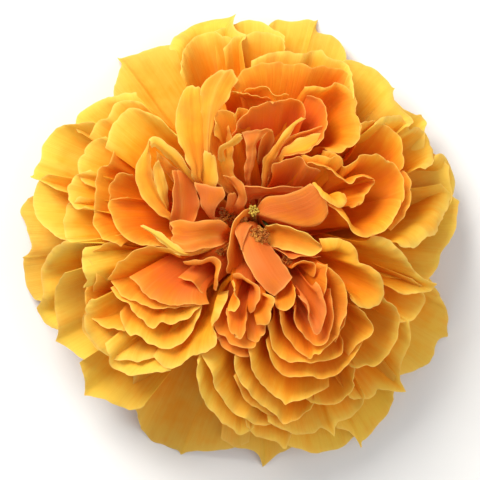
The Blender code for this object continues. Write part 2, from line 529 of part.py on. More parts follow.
# ------------------------------------------------------------------ stem, hip, stamens, styles, sepals
GREEN, STEM_GREEN = srgb(96, 120, 52), srgb(110, 128, 60)
AMBER, STYLE_YELLOW = srgb(150, 78, 24), srgb(205, 150, 60)
PETAL_YELLOW, PETAL_APRICOT = srgb(250, 200, 72), srgb(250, 140, 62)


def make_turned(name, profile, sides, colour, rough, bored=False):
    body = mesh_object(name, *turned(profile, sides, bored))
    body.data.materials.append(material(name, colour, rough))


def make_stem():
    make_turned("stem", [(STEM_RADIUS, 0), (STEM_RADIUS, STEM_TOP / 2), (STEM_RADIUS * 0.95, STEM_TOP)], 20,
                STEM_GREEN, 0.55)


def make_hip():
    """A flask under a round plate that carries the petals."""
    profile = [(STEM_RADIUS, HIP_BASE), (4.3, 9.4), (HIP_RADIUS, 12.0), (5.4, 14.2), (4.9, 15.8),
               (6.0, 16.9), (HIP_RIM_RADIUS, 17.5), (HIP_RIM_RADIUS, HIP_TOP)]
    make_turned("hip", profile, 24, GREEN, 0.5)


def make_stamens():
    """The ring of stamens as one thick-walled tube, wider at its head."""
    profile = [(STAMEN_BORE, STAMEN_BASE), (STAMEN_RADIUS, STAMEN_BASE), (STAMEN_RADIUS, 26.0),
               (STAMEN_HEAD_RADIUS, 32.0), (2.2, STAMEN_TOP), (1.4, STAMEN_TOP - 0.6), (STAMEN_BORE, 30.0)]
    make_turned("stamens", profile, 14, AMBER, 0.7, bored=True)


def make_styles():
    profile = [(STYLE_RADIUS, STAMEN_BASE), (STYLE_RADIUS, 30.0), (0.8, 32.5), (0.5, STYLE_TOP)]
    make_turned("styles", profile, 10, STYLE_YELLOW, 0.6)


def make_sepal(number):
    """A pointed green leaf that spreads from the hip's rim and hangs down at its tip."""
    bearing = math.radians(SEPAL_BEARING + 360 * (number - 1) / SEPAL_COUNT)
    ahead = np.array([math.cos(bearing), math.sin(bearing), 0.0])
    across = np.array([-math.sin(bearing), math.cos(bearing), 0.0])
    G = np.zeros((8, 5, 3))
    q = np.zeros((8, 5))
    for i, u in enumerate(np.linspace(0, 1, 8)):
        reach = HIP_RIM_RADIUS + 0.45 + SEPAL_LENGTH * (u - 0.06 * u * u)
        z = HIP_TOP - 0.65 + 1.2 * math.sin(math.pi * u * 0.6) - SEPAL_DROP * u * u
        shoulder = 0.55 + 0.45 * math.sin(math.pi / 2 * min(u / 0.55, 1))
        half_width = SEPAL_WIDTH / 2 * shoulder * (1 - u**2.2) + 0.35
        for j, t in enumerate(np.linspace(-1, 1, 5)):
            G[i, j] = ahead * reach + across * half_width * t + (0, 0, z - 0.5 * t * t)
            q[i, j] = u
    name = "sepal_%d" % number
    body = mesh_object(name, *sheet_solid(G, q, SEPAL_THICKNESS))
    body.data.materials.append(material(name, GREEN, 0.6))


# ------------------------------------------------------------------ petals
LAYERS = {"heart": 0, "mid": 1, "ring": 2, "left": 2, "low": 2, "right": 2, "top": 2, "outer": 3, "guard": 4}


def claw_bearings():
    """Where each petal's claw stands: the claws of a ring keep their order and spread to clear each other."""
    aims = {}
    for name, surface, shape, options in petals:
        middle = np.mean([curve([(p[0], p[1], 0) for p in points], 12).mean(0) for points in shape], axis=0)
        aims[name] = options.get("stand", math.degrees(math.atan2(middle[1], middle[0]))) % 360
    stands = {}
    for ring, radius in enumerate(RINGS):
        names = [name for name, surface, shape, options in petals if ring_of(surface, options) == ring]
        names.sort(key=lambda name: aims[name])
        angles = np.array([aims[name] for name in names])
        need = min(math.degrees((2 * CLAW_HALF_WIDTH + CLEARANCE + 0.15) / radius), 360 / max(len(names), 1))
        for _ in range(400):
            for k in range(len(names) if len(names) > 1 else 0):
                after = (k + 1) % len(names)
                gap = (angles[after] - angles[k] + 30) % 360 - 30
                if gap < need:
                    angles[k] -= (need - gap) / 2
                    angles[after] += (need - gap) / 2
        stands.update(zip(names, angles.tolist()))
    return stands


def ring_of(surface, options):
    return options.get("ring", 3 if surface is leaf_surface else 2)


def fat_petal(name, G, q, by):
    """The petal grown all round: what later petals are cut with."""
    V, F = sheet_solid(widened(G, by), np.pad(q, 1, mode="edge"), PETAL_THICKNESS, by)
    return mesh_object(name + "_clearance", V, F)


def stamens_room():
    """The room that the petals leave for the stamens."""
    edge = STAMEN_RADIUS + CLEARANCE
    profile = [(edge, HIP_TOP), (edge, 26.0), (STAMEN_HEAD_RADIUS + CLEARANCE, 32.0),
               (STAMEN_HEAD_RADIUS, STAMEN_TOP + CLEARANCE)]
    return mesh_object("stamens_clearance", *turned(profile, 14))


def cut_clear(name, G, q, room, earlier, by):
    """A petal cut clear of the earlier ones by a distance, and whether it came out sound."""
    body = mesh_object(name, *sheet_solid(G, q, PETAL_THICKNESS))
    if boxes_meet(body, room):
        cut(body, room)
    for other, other_G, other_q in earlier:
        cutter = fat_petal(name, other_G, other_q, by)
        if boxes_meet(body, cutter):
            cut(body, cutter)
        bpy.data.objects.remove(cutter, do_unlink=True)
    sound = keep_seated(body)
    for other, other_G, other_q in earlier:
        if not boxes_meet(body, other):
            continue
        for more in (0.2, 0.5):
            if shared_volume(body, other) > SHARED_LIMIT:
                cutter = fat_petal(name, other_G, other_q, more)
                cut(body, cutter, True)
                sound = keep_seated(body)
                bpy.data.objects.remove(cutter, do_unlink=True)
        sound = sound and shared_volume(body, other) <= SHARED_LIMIT
    return body, sound


def make_petals():
    stands = claw_bearings()
    room = stamens_room()
    earlier = []
    for name, surface, shape, options in sorted(petals, key=lambda entry: LAYERS[entry[0].split("_")[0]]):
        own = {key: value for key, value in options.items() if key not in ("tone", "stand")}
        G, q = surface(stands[name], *shape, **own)
        for by in CLEARANCES:
            body, sound = cut_clear(name, G, q, room, earlier, by)
            if sound or by == CLEARANCES[-1]:
                break
            bpy.data.objects.remove(body, do_unlink=True)
        tone = options.get("tone", 0.5)
        body.data.materials.clear()
        body.data.materials.append(material(name, PETAL_YELLOW * (1 - tone) + PETAL_APRICOT * tone, 0.6))
        earlier.append((body, G, q))
        print("petal", name, len(body.data.polygons), "sound" if sound else "not sound")
    bpy.data.objects.remove(room, do_unlink=True)


def centre_on_footprint():
    """Moves everything so that the middle of the footprint, on the surface below, is the origin."""
    meshes = [body.data for body in bpy.context.scene.objects if body.type == "MESH"]
    points = np.array([v.co[:] for mesh in meshes for v in mesh.vertices])
    low, high = points.min(0), points.max(0)
    shift = np.array([-(low[0] + high[0]) / 2, -(low[1] + high[1]) / 2, -low[2]])
    for mesh in meshes:
        for v in mesh.vertices:
            v.co = (np.array(v.co) + shift).tolist()
        mesh.update()


make_stem()
make_hip()
make_stamens()
make_styles()
for number in range(1, SEPAL_COUNT + 1):
    make_sepal(number)
make_petals()
centre_on_footprint()
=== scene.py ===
"""A quartered garden rose, picked and lying face up: the finished look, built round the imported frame.

The petal table is in millimetres from the eye of the bloom, which stands over the stem. +Z is up.
"""
import math

import bpy
import numpy as np
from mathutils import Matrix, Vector


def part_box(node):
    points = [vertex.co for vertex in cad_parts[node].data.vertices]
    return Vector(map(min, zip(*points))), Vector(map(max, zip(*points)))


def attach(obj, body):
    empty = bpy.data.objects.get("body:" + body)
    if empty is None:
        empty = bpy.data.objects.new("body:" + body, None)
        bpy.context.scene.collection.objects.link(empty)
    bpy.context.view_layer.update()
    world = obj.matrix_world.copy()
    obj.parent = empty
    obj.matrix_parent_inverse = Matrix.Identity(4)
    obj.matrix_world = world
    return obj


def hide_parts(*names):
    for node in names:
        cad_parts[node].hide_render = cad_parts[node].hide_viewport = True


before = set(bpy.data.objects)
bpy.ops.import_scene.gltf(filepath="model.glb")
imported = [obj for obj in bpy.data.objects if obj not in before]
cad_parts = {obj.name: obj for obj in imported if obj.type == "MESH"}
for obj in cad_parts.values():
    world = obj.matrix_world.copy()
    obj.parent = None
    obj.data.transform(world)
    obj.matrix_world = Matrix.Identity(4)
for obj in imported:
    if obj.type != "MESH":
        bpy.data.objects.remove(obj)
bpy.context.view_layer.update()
stem_low, stem_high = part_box("stem")
EYE = np.array([(stem_low.x + stem_high.x) / 2, (stem_low.y + stem_high.y) / 2, 0.0])

# ------------------------------------------------------------------ sizes, mm
MM = 0.001
CX, CY, RO = -4.6, -1.9, 56.0          # middle and radius of the bloom seen from above
DOME = ((0.0, 40.0), (0.2, 42.0), (0.4, 42.0), (0.6, 39.0), (0.75, 33.0),
        (0.85, 25.5), (0.93, 17.0), (1.0, 8.5), (1.1, 4.0))   # its height over that radius
SIGHT_X, SIGHT_Y, SIGHT_LEVEL, SIGHT_HEIGHT = -4.25, -2.0, 25.0, 833.0
BASE_Z = 19.0                          # foot of the claws, just above the receptacle
RINGS = (6.4, 5.5, 4.6, 3.7, 2.8)      # where the claws of each layer stand on it
PETAL_THICKNESS = (0.42, 0.24, 0.12)   # claw, middle, margin
FLOOR_GAP, REST_GAP = 0.6, 0.03        # under margins that stay clear of the surface, and that lie on it
STEM_RADIUS, STEM_TOP = 2.6, 8.0
HIP_RIM_RADIUS, HIP_TOP = 7.3, 18.35
HIP_PROFILE = ((2.5, 8.2), (4.3, 9.4), (5.6, 12.0), (5.4, 14.2), (4.9, 15.8), (6.0, 16.9), (7.2, 17.4),
               (7.3, 18.35))             # radius and height
PRICKLES = ((20, 3.2), (150, 5.4), (262, 2.2))   # bearing in degrees, and height on the stem
PRICKLE_BEND = ((0.8, 0.05), (1.5, 0.25), (2.1, 0.6))   # how far out, and how far down from its foot
STEM_SIDES, STEM_RINGS = 40, 24
SEPAL_COUNT, SEPAL_LENGTH, SEPAL_WIDTH = 5, 25.0, 8.0
SEPAL_BEARING, SEPAL_DROP = 54.0, 9.5
# where the stamens and the styles show between the petals: middle, height, spread, how many
STAMEN_CLUSTERS = ((0.5, -0.9, 38.2, 2.3, 24), (-7.6, 4.2, 34.0, 2.0, 16), (-9.3, -5.0, 34.5, 1.0, 6),
                   (7.2, -6.8, 38.0, 1.5, 7), (-3.5, 2.5, 37.0, 1.2, 6))
STYLE_CLUSTERS = ((-0.9, 5.3, 38.0, 1.3, 16),)
COLUMN_WIDTH = 0.55                    # mesh columns across a petal
BLADE_ROWS, MARGIN_ROWS = 22, 5
TIP_GROWTH = 1.8                       # the finely drawn tips reach further than those of the solids


def dome(x, y):
    """Height of the bloom's outside over a point, mm."""
    rho = math.hypot(x - CX, y - CY) / RO
    return float(np.interp(rho, [a for a, b in DOME], [b for a, b in DOME]))


def placed(x, y, lift=0.0):
    """A point of the table, which holds the bloom as seen from SIGHT_HEIGHT, moved to its own height."""
    z = max(dome(x, y) + lift, FLOOR_GAP)
    grow = 1 + (SIGHT_LEVEL - z) / SIGHT_HEIGHT
    return (SIGHT_X + (x - SIGHT_X) * grow, SIGHT_Y + (y - SIGHT_Y) * grow, z)


# ------------------------------------------------------------------ curves
def unit(a):
    return a / np.maximum(np.linalg.norm(a, axis=-1, keepdims=True), 1e-9)


def curve(points, count):
    """A smooth curve through the points, as count + 1 evenly spaced ones."""
    P = np.array(points, float)
    if len(P) == 2:
        P = np.array([P[0], (P[0] + P[1]) / 2, P[1]])
    gap = np.linalg.norm(np.diff(P, axis=0), axis=1) ** 0.5
    t = np.concatenate([[0], np.cumsum(np.maximum(gap, 1e-6))])
    slope = np.zeros_like(P)
    for i in range(1, len(P) - 1):
        a, b = t[i] - t[i - 1], t[i + 1] - t[i]
        slope[i] = ((P[i] - P[i - 1]) / a * b + (P[i + 1] - P[i]) / b * a) / (a + b)
    slope[0] = 1.5 * (P[1] - P[0]) / (t[1] - t[0]) - 0.5 * slope[1]
    slope[-1] = 1.5 * (P[-1] - P[-2]) / (t[-1] - t[-2]) - 0.5 * slope[-2]
    q = np.linspace(t[0], t[-1], 600)
    k = np.clip(np.searchsorted(t, q, "right") - 1, 0, len(P) - 2)
    h = (t[k + 1] - t[k])[:, None]
    s = ((q - t[k]) / h[:, 0])[:, None]
    C = ((2 * s**3 - 3 * s**2 + 1) * P[k] + (s**3 - 2 * s**2 + s) * h * slope[k]
         + (-2 * s**3 + 3 * s**2) * P[k + 1] + (s**3 - s**2) * h * slope[k + 1])
    along = np.concatenate([[0], np.cumsum(np.linalg.norm(np.diff(C, axis=0), axis=1))])
    even = np.linspace(0, along[-1], count + 1)
    return np.stack([np.interp(even, along, C[:, c]) for c in range(3)], 1)


def waves(v, rng, low, high, count=4):
    """A smooth wandering line of about unit height, with low to high cycles over v."""
    line = np.zeros_like(v)
    for _ in range(count):
        turns = rng.uniform(low, high)
        line = line + rng.uniform(0.4, 1.0) * np.sin(2 * math.pi * turns * v + rng.uniform(0, 6.283))
    return line / (0.55 * count)


def seed_of(name):
    seed = 7
    for letter in name:
        seed = (seed * 131 + ord(letter)) % 1000003
    return seed


# ------------------------------------------------------------------ petals
def petal_surface(name, rim, heart=(0, 0), ring=2, lean=20, rise=70, foot=0.38, flare=0.4, lift=0.0,
                  tips=(), ruffle=0.5, frill=0.34, jag=0.3, roll=(18, 1.2), stand=None, claw=2.2, wide=0.6,
                  fan=0.3, notches=1, tuck=1.8, rests=False, tone=0.5, deep=0.0):
    """A petal's middle surface, from its claw to its margin, and what its colour needs to know of it, painted
    shade included.

    The margin runs through the rim points on the dome. The blade leaves the receptacle at the angle rise,
    keeps wide of its width at the foot, and reaches the margin leaning out from the heart at the angle lean.
    """
    rng = np.random.default_rng(seed_of(name))
    points = [placed(p[0], p[1], lift + (p[2] if len(p) > 2 else 0.0)) for p in rim]
    rough = curve(points, 60)
    length = np.linalg.norm(np.diff(rough, axis=0), axis=1).sum()
    columns = int(np.clip(length / COLUMN_WIDTH, 30, 104))
    P3 = curve(points, columns)
    v = np.linspace(0, 1, columns + 1)
    out = P3 - np.array([heart[0], heart[1], 0.0])
    out[:, 2] = 0
    middle_out = unit(out.mean(0))
    out = unit((1 - fan) * unit(out) + fan * middle_out)
    up = np.array([0, 0, 1.0])

    # the margin turns over by roll[0] degrees along roll[1] mm, less at the petal's sides
    turn = math.radians(roll[0]) * (1 + 0.35 * waves(v, rng, length / 40, length / 16))
    taper = np.clip(np.minimum(v, 1 - v) / 0.12, 0, 1) ** 0.6
    over = roll[1] * (0.35 + 0.65 * taper) * (1 + 0.18 * waves(v, rng, 1.0, 5.0))
    angle = np.radians(np.interp(v, np.linspace(0, 1, np.size(lean)), np.ravel(lean)))
    T = np.cos(angle)[:, None] * out + np.sin(angle)[:, None] * up
    P3 = P3 - T * (over * np.sinc(turn / math.pi))[:, None]

    # claw on the receptacle, foot and shoulder of the blade
    radius = RINGS[ring]
    mean = P3.mean(0)
    bearing = math.atan2(mean[1], mean[0]) if stand is None else math.radians(stand)
    ahead = np.array([math.cos(bearing), math.sin(bearing), 0.0])
    across = np.array([-ahead[1], ahead[0], 0.0])
    hand = np.sign((P3[-1] - P3[0]) @ across) or 1.0
    spread = bearing + hand * (v - 0.5) * 2 * claw / radius
    P0 = np.stack([radius * np.cos(spread), radius * np.sin(spread), np.full(columns + 1, BASE_Z)], 1)
    L = np.linalg.norm(P3 - P0, axis=1)
    L = 0.5 * L + 0.5 * L.mean()
    aim = 0.3 * P3 + 0.7 * mean - P0
    aim[:, 2] = 0
    aim = unit(aim)
    side = (P3 - mean) @ across
    e = math.radians(rise)
    P1 = P0 + (foot * L)[:, None] * (math.cos(e) * aim + math.sin(e) * up) + across * (wide * side)[:, None]
    reach = np.linalg.norm((P3 - np.array([heart[0], heart[1], 0.0]))[:, :2], axis=1)
    P2 = P3 - np.minimum(flare * L, 0.75 * reach)[:, None] * T
    u = np.linspace(0, 1, BLADE_ROWS + 1) ** 0.85
    weights = [(1 - u) ** 3, 3 * u * (1 - u) ** 2, 3 * u**2 * (1 - u), u**3]
    G = sum(b[:, None, None] * P[None] for b, P in zip(weights, (P0, P1, P2, P3)))

    # the turned-over margin
    ahead_rows = unit(G[-1] - G[-2])
    normal = unit(np.cross(ahead_rows, unit(np.gradient(G[-1], axis=0))))
    face = 1.0 if normal[:, 2].mean() + 0.3 * (-(normal * out).sum(1)).mean() > 0 else -1.0
    normal = normal * face
    rows = []
    pos = G[-1].copy()
    for k in range(1, MARGIN_ROWS + 1):
        a = turn * (k - 0.5) / MARGIN_ROWS
        step = np.cos(a)[:, None] * ahead_rows - np.sin(a)[:, None] * normal
        pos = pos + step * (over / MARGIN_ROWS)[:, None]
        rows.append(pos.copy())
    G = np.concatenate([G, np.array(rows)])

    # uneven outline: teeth, small notches and pointed tips
    ends = np.clip(np.minimum(v, 1 - v) / 0.08, 0, 1)
    growth = (jag * waves(v, rng, length / 9, length / 5)
              + 0.4 * jag * waves(v, rng, length / 3.6, length / 2.4))
    for _ in range(notches):
        where, cut = rng.uniform(0.12, 0.88), rng.uniform(0.4, 1.0)
        growth = growth - cut * np.exp(-np.abs(v - where) * length / 0.9)
    growth = growth * ends
    for where, size, width in tips:
        growth = growth + TIP_GROWTH * size * np.exp(-np.abs(v - where) / width)
    dirn = unit(G[-1] - G[-3])
    last = len(G) - 1
    for k in range(10):
        G[last - k] += dirn * (growth * (1 - k / 10) ** 2)[:, None]

    # place along the petal, 0 at the claw and 1 at the margin, and distance from the margin
    seg = np.linalg.norm(np.diff(G, axis=0), axis=2)
    S = np.concatenate([np.zeros((1, columns + 1)), np.cumsum(seg, 0)])
    q = S / S[-1][None]
    edge = S[-1][None] - S

    # waves of the blade: broad ones, tighter ones near the margin
    NN = unit(np.cross(unit(np.gradient(G, axis=0)), unit(np.gradient(G, axis=1)))) * face
    broad = ruffle * waves(v, rng, length / 30, length / 15, 3)
    small = ruffle * 0.4 * waves(v, rng, length / 13, length / 8, 3)
    fine = frill * waves(v, rng, length / 6.5, length / 4.0, 4)
    crimp = 0.45 * frill * waves(v, rng, length / 3.4, length / 2.2, 4)
    bend = ruffle * 0.5 * waves(v, rng, 0.8, 1.8, 3)
    W = (broad[None] * q**3 + small[None] * np.exp(-edge / 4.0) + fine[None] * np.exp(-edge / 1.8)
         + crimp[None] * np.exp(-edge / 0.8) + bend[None] * np.sin(math.pi * q) * q)
    G = G + NN * W[:, :, None]

    # the corners of the blade dip under the neighbours
    G[:, :, 2] -= tuck * np.exp(-np.minimum(v, 1 - v) * length / 2.2) * q**3

    # the lowest margins lie on the surface, the others stay clear of it
    low = G[:, :, 2].min() - PETAL_THICKNESS[2] / 2
    if rests or low < FLOOR_GAP:
        G[:, :, 2] -= (low - (REST_GAP if rests else FLOOR_GAP)) * q**3
    return {"G": G, "q": q, "edge": edge, "v": v, "face": face, "length": length, "tone": tone, "deep": deep,
            "seed": seed_of(name) % 97}


def leaf_surface(name, left, right, ring=3, stand=None, claw=1.3, crown=0.0, end=0.0, ruffle=0.24, frill=0.28,
                 jag=0.22, tone=0.5, deep=0.0, ridge=None):
    """A petal stretched between its two side margins, given from foot to tip, with a crown across it in mm.

    ridge gives where over the width the crown is folded to a crease, at the foot and at the tip; a highlight
    is painted along the crease, and the facet past it gets more of the petal's painted shade than the one
    before it.
    """
    rng = np.random.default_rng(seed_of(name))
    sides = [[placed(*p) for p in side] for side in (left, right)]
    foot = (np.array(sides[0][0]) + np.array(sides[1][0])) / 2
    bearing = math.atan2(foot[1], foot[0]) if stand is None else math.radians(stand)
    radius = RINGS[ring]
    across = np.array(sides[1][0]) - np.array(sides[0][0])
    hand = np.sign(-math.sin(bearing) * across[0] + math.cos(bearing) * across[1]) or 1.0
    for side, sign in zip(sides, (-hand, hand)):
        a = bearing + sign * claw / radius
        side.insert(0, (radius * math.cos(a), radius * math.sin(a), BASE_Z))
    rough = curve(sides[0], 40)
    length = np.linalg.norm(np.diff(rough, axis=0), axis=1).sum()
    rows, columns = int(np.clip(length / 0.7, 24, 60)), 22
    A, B = curve(sides[0], rows), curve(sides[1], rows)
    u, v = np.linspace(0, 1, rows + 1), np.linspace(0, 1, columns + 1)
    G = A[:, None] * (1 - v)[None, :, None] + B[:, None] * v[None, :, None]
    along = unit(np.gradient((A + B) / 2, axis=0))
    normal = unit(np.cross(along, unit(B - A)))
    normal = normal * np.sign(normal[rows // 2:, 2].sum() or 1.0)
    arch = np.sin(math.pi * v)[None]
    if ridge is not None:
        crease = np.clip(np.linspace(ridge[0], ridge[1], rows + 1), 0.05, 0.95)[:, None]
        fall = np.where(v < crease, (crease - v) / crease, (v - crease) / (1 - crease))
        arch = (1 - np.hypot(fall, 0.06)) * np.sin(math.pi * crease) ** 0.6
    open_share = np.clip(u / 0.3, 0, 1)
    G = G + ((crown * open_share)[:, None] * arch)[..., None] * normal[:, None]
    tip = np.clip((u - 0.75) / 0.25, 0, 1) ** 2
    G = G + (end * tip)[:, None, None] * (1 - (2 * v - 1) ** 2)[None, :, None] * along[:, None]
    width = np.linalg.norm(B - A, axis=1)
    run = np.concatenate([[0], np.cumsum(np.linalg.norm(np.diff((A + B) / 2, axis=0), axis=1))])
    edge = np.minimum(np.minimum(width[:, None] * v, width[:, None] * (1 - v)), (run[-1] - run)[:, None])
    q = np.broadcast_to(u[:, None], edge.shape).copy()

    # margins with small teeth, and waves over the blade
    for column, sign, other in ((0, -1, 1), (columns, 1, columns - 1)):
        teeth = jag * waves(u, rng, length / 8, length / 4) * np.clip((u - 0.3) / 0.2, 0, 1)
        G[:, column] += sign * unit(B - A) * teeth[:, None]
    teeth = jag * waves(v, rng, 1.0, 4.0)
    G = G + along[:, None] * (teeth[None] * (u**12)[:, None])[:, :, None]
    lengthwise = ruffle * waves(u, rng, 1.0, 3.0, 3)[:, None] * np.cos(math.pi * v)[None]
    folds = 0.9 * ruffle * waves(v, rng, 0.8, 2.2, 3)[None] * np.sin(math.pi * u)[:, None]
    fine = frill * waves(u, rng, length / 6, length / 3.5, 4)[:, None] * np.exp(-edge / 1.2)
    swell = (lengthwise + folds + fine) * np.clip((u - 0.25) / 0.3, 0, 1)[:, None]
    G = G + normal[:, None] * swell[:, :, None]
    # along a crease: a painted highlight, drawn as margin paleness, and painted shade weighted onto the facet
    # past the crease
    if ridge is not None:
        edge = np.minimum(edge, 0.15 + np.abs(v - crease) * width[:, None])
        deep = np.where(v > crease, 1.6, 0.4) * deep
    facing = unit(np.cross(np.gradient(G, axis=0), np.gradient(G, axis=1)))
    face = np.sign((facing * normal[:, None]).sum()) or 1.0
    return {"G": G, "q": q, "edge": edge, "v": v, "face": face, "length": width.max() * 1.2, "tone": tone,
            "deep": deep, "seed": seed_of(name) % 97}


def sheet(G, thickness):
    """A closed thin body round a surface of points: its vertices and quads."""
    rows, columns = G.shape[0] - 1, G.shape[1] - 1
    N = unit(np.cross(np.gradient(G, axis=0), np.gradient(G, axis=1)))
    half = thickness[..., None] / 2
    V = np.concatenate([(G + N * half).reshape(-1, 3), (G - N * half).reshape(-1, 3)])
    count = (rows + 1) * (columns + 1)
    idx = np.arange(count).reshape(rows + 1, columns + 1)
    a, b, c, d = idx[:-1, :-1], idx[:-1, 1:], idx[1:, 1:], idx[1:, :-1]
    top = np.stack([a, d, c, b], -1).reshape(-1, 4)
    bottom = np.stack([a, b, c, d], -1).reshape(-1, 4) + count
    loop = np.concatenate([idx[0, :-1], idx[:-1, -1], idx[-1, :0:-1], idx[:0:-1, 0]])
    after = np.roll(loop, -1)
    F = np.concatenate([top, bottom, np.stack([loop, after, after + count, loop + count], -1)])
    volume = sum(np.einsum("ij,ij->i", V[F[:, i]], np.cross(V[F[:, j]], V[F[:, k]])).sum()
                 for i, j, k in ((0, 1, 2), (0, 2, 3)))
    return V, F[:, ::-1] if volume < 0 else F


def petal_solid(s):
    """A petal's thin body, and each vertex's colour values (tone, pale margin with a painted highlight at its
    very edge, painted shade) and place along the veins.
    """
    G, q = s["G"], s["q"]
    V, F = sheet(G, np.interp(q, [0, 0.5, 1.0], PETAL_THICKNESS))
    tone = s["tone"]
    height = np.vectorize(dome)(G[..., 0], G[..., 1])
    # painted shade: the deeper a point lies below the dome, the more it is coloured towards deep red-orange,
    # and a petal given a shade amount gets it over its inner face too
    depth = np.clip((height - G[..., 2] - 1.0) / 14.0, 0, 1) * (0.35 + 0.65 * min(1, tone * 1.6))
    depth = np.clip(depth + s["deep"] * (1 - np.exp(-s["edge"] / 1.5)), 0, 1)
    # the margin is paler in its own colour over a few millimetres; the last fraction of a millimetre is a
    # painted highlight where the edge would catch the light
    pale = 0.4 * np.exp(-s["edge"] / 3.0) + 0.4 * np.exp(-s["edge"] / 0.3)
    near = np.clip(1 - np.hypot(G[..., 0], G[..., 1]) / 30, 0, 1)
    warm = tone + 0.12 - (0.42 - 0.2 * tone) * np.exp(-s["edge"] / 3.5) + 0.2 * (1 - q) + 0.15 * near
    warm = np.clip(warm, 0, 1)
    # the finish values are the tone, the pale margin with its painted highlight, and the painted shade
    finish = np.stack([warm, pale, depth], -1).reshape(-1, 3)
    veins = np.stack([np.broadcast_to(s["v"] * s["length"], q.shape), q * 10.0,
                      np.full(q.shape, float(s["seed"]))], -1).reshape(-1, 3)
    return V, F, np.concatenate([finish, finish]), np.concatenate([veins, veins])


petals = []


def petal(name, style, *rim, **own):
    """Adds a petal that is given by its margin."""
    petals.append((name, petal_surface, (rim,), {**style, **own}))


def leaf(name, style, left, right, **own):
    """Adds a petal that is given by its two sides."""
    look = {k: style[k] for k in ("ring", "tone") if k in style}
    petals.append((name, leaf_surface, (left, right), {**look, **own}))


# The shade option in this table paints a petal's inner face deeper red-orange where it lies in shadow.
GUARD = dict(ring=0, lean=-12, rise=28, ruffle=0.45, frill=0.12, jag=0.15, notches=0, roll=(15, 1.4),
             wide=0.75, tuck=0.5, tone=0)
petal("guard_01", GUARD, (-36, 33), (-36, 37), (-34, 42), (-33, 44.5), (-26, 46.5), (-20.5, 47.2), (-15, 47),
      tips=((0.42, 1.5, 0.03),), lean=-24, rests=True)
petal("guard_02", GUARD, (-20.5, 46, 2), (-18, 50, 2), (-14.5, 53.2, 2), (-10, 53.3, 2), (-7, 51, 3),
      (-4, 48, 4), tips=((0.62, 1.2, 0.03),), roll=(75, 4.5))
petal("guard_03", GUARD, (-11, 50), (-5, 52.3), (-1, 53), (2.5, 51.7), (7, 49))
petal("guard_04", GUARD, (2.2, 50), (5, 53.4), (9, 53), (13.2, 53), (15, 50.2), (19, 49.5), (21.5, 47),
      (22.5, 42), tips=((0.5, 1.9, 0.03),), lean=-24, rests=True)
petal("guard_05", GUARD, (22, 42), (24, 43, 1), (28, 41.5, 1), (32, 38.6, 1), (33, 36.5, 1), (34.5, 33, 1),
      (38, 29.5, 2), (37.5, 26.5, 4), tips=((0.5, 1, 0.03),), roll=(50, 3))
petal("guard_06", GUARD, (33, 34, -1), (38, 30, -1), (42, 27.6, -1), (41.8, 24, -1), (42, 20, -4),
      tips=((0.48, 0.8, 0.04),))
petal("guard_07", GUARD, (40, 24, -5), (44, 20, -1), (46.5, 17.5), (48, 13), (48.8, 9), (46, 4),
      tips=((0.4, 0.7, 0.04),))
petal("guard_08", GUARD, (46, 12), (49, 8.5), (50, 6), (49.3, 0), (46, -5.5), (45.5, -8), (42, -13),
      tips=((0.22, 0.8, 0.03),))
petal("guard_09", GUARD, (43, -11, 2), (46, -16, 1), (48.2, -22.5), (45.8, -26.5), (44, -31), (42.5, -33.3),
      (38, -35.5), (34, -36.5), tips=((0.53, 1.7, 0.025),), lean=-24, rests=True)
petal("guard_10", GUARD, (34.7, -36), (34.3, -40), (33, -45), (29, -50), (26.8, -51.5), (24.3, -50.2),
      (20, -49), tips=((0.74, 2.6, 0.035),))
petal("guard_11", GUARD, (25, -50), (21, -54), (15, -55.3), (10, -54), (4, -52), lift=-1)
petal("guard_12", GUARD, (12, -53), (7, -55.3, -1), (3, -56.5, -1), (-1, -55, -1), (-6, -54, -1), (-9, -52),
      tips=((0.42, 2.2, 0.05),), lean=-24, rests=True)
petal("guard_13", GUARD, (-2, -53), (-8, -55), (-14, -55.4), (-18.5, -55), (-23, -54.2), (-27.5, -52),
      (-30.5, -45), (-31.2, -36), tips=((0.34, 1.2, 0.015),), lean=-24, ruffle=0.5, rests=True)
petal("guard_14", GUARD, (-28, -43.5), (-33, -44.3), (-38, -42), (-42, -40), (-43.3, -36), (-44.5, -33),
      tips=((0.68, 0.9, 0.04),))
petal("guard_15", GUARD, (-43, -32, 1), (-46, -30), (-49, -27), (-49.5, -24), (-50.5, -19), (-50.5, -15, 1),
      (-48, -10, 3), tips=((0.3, 1, 0.04),), rise=36)
petal("guard_16", GUARD, (-50, -24, 1), (-54, -20.8, 1), (-53.3, -16, 2), (-54.3, -11.5, 3), (-52, -7, 4),
      (-47, -2.5, 6), tips=((0.2, 0.9, 0.04),), rise=36, roll=(60, 3))
petal("guard_17", GUARD, (-53, -17.8), (-57, -16), (-59, -11), (-58.8, -7.5), (-57, -4), (-58.2, 1),
      (-59.5, 6), (-55, 10), tips=((0.42, 0.7, 0.02),), lean=-24, rests=True)
petal("guard_18", GUARD, (-46, -3, 5), (-51, 0, 3), (-55, 3.5, 2), (-56, 8, 1), (-55, 12, 1), (-52, 14.5, 1),
      rise=34)
petal("guard_19", GUARD, (-50, 11, -1), (-55.5, 15.3, 1), (-54, 18), (-53.5, 21.5), (-51, 25.2), (-46, 27),
      (-41, 27.5, 2), tips=((0.22, 1.5, 0.03),))
petal("guard_20", GUARD, (-44.5, 25, -4), (-45, 29, -1), (-40, 32.6, -1), (-36, 33.6), (-30, 34.5, 1),
      roll=(50, 3))

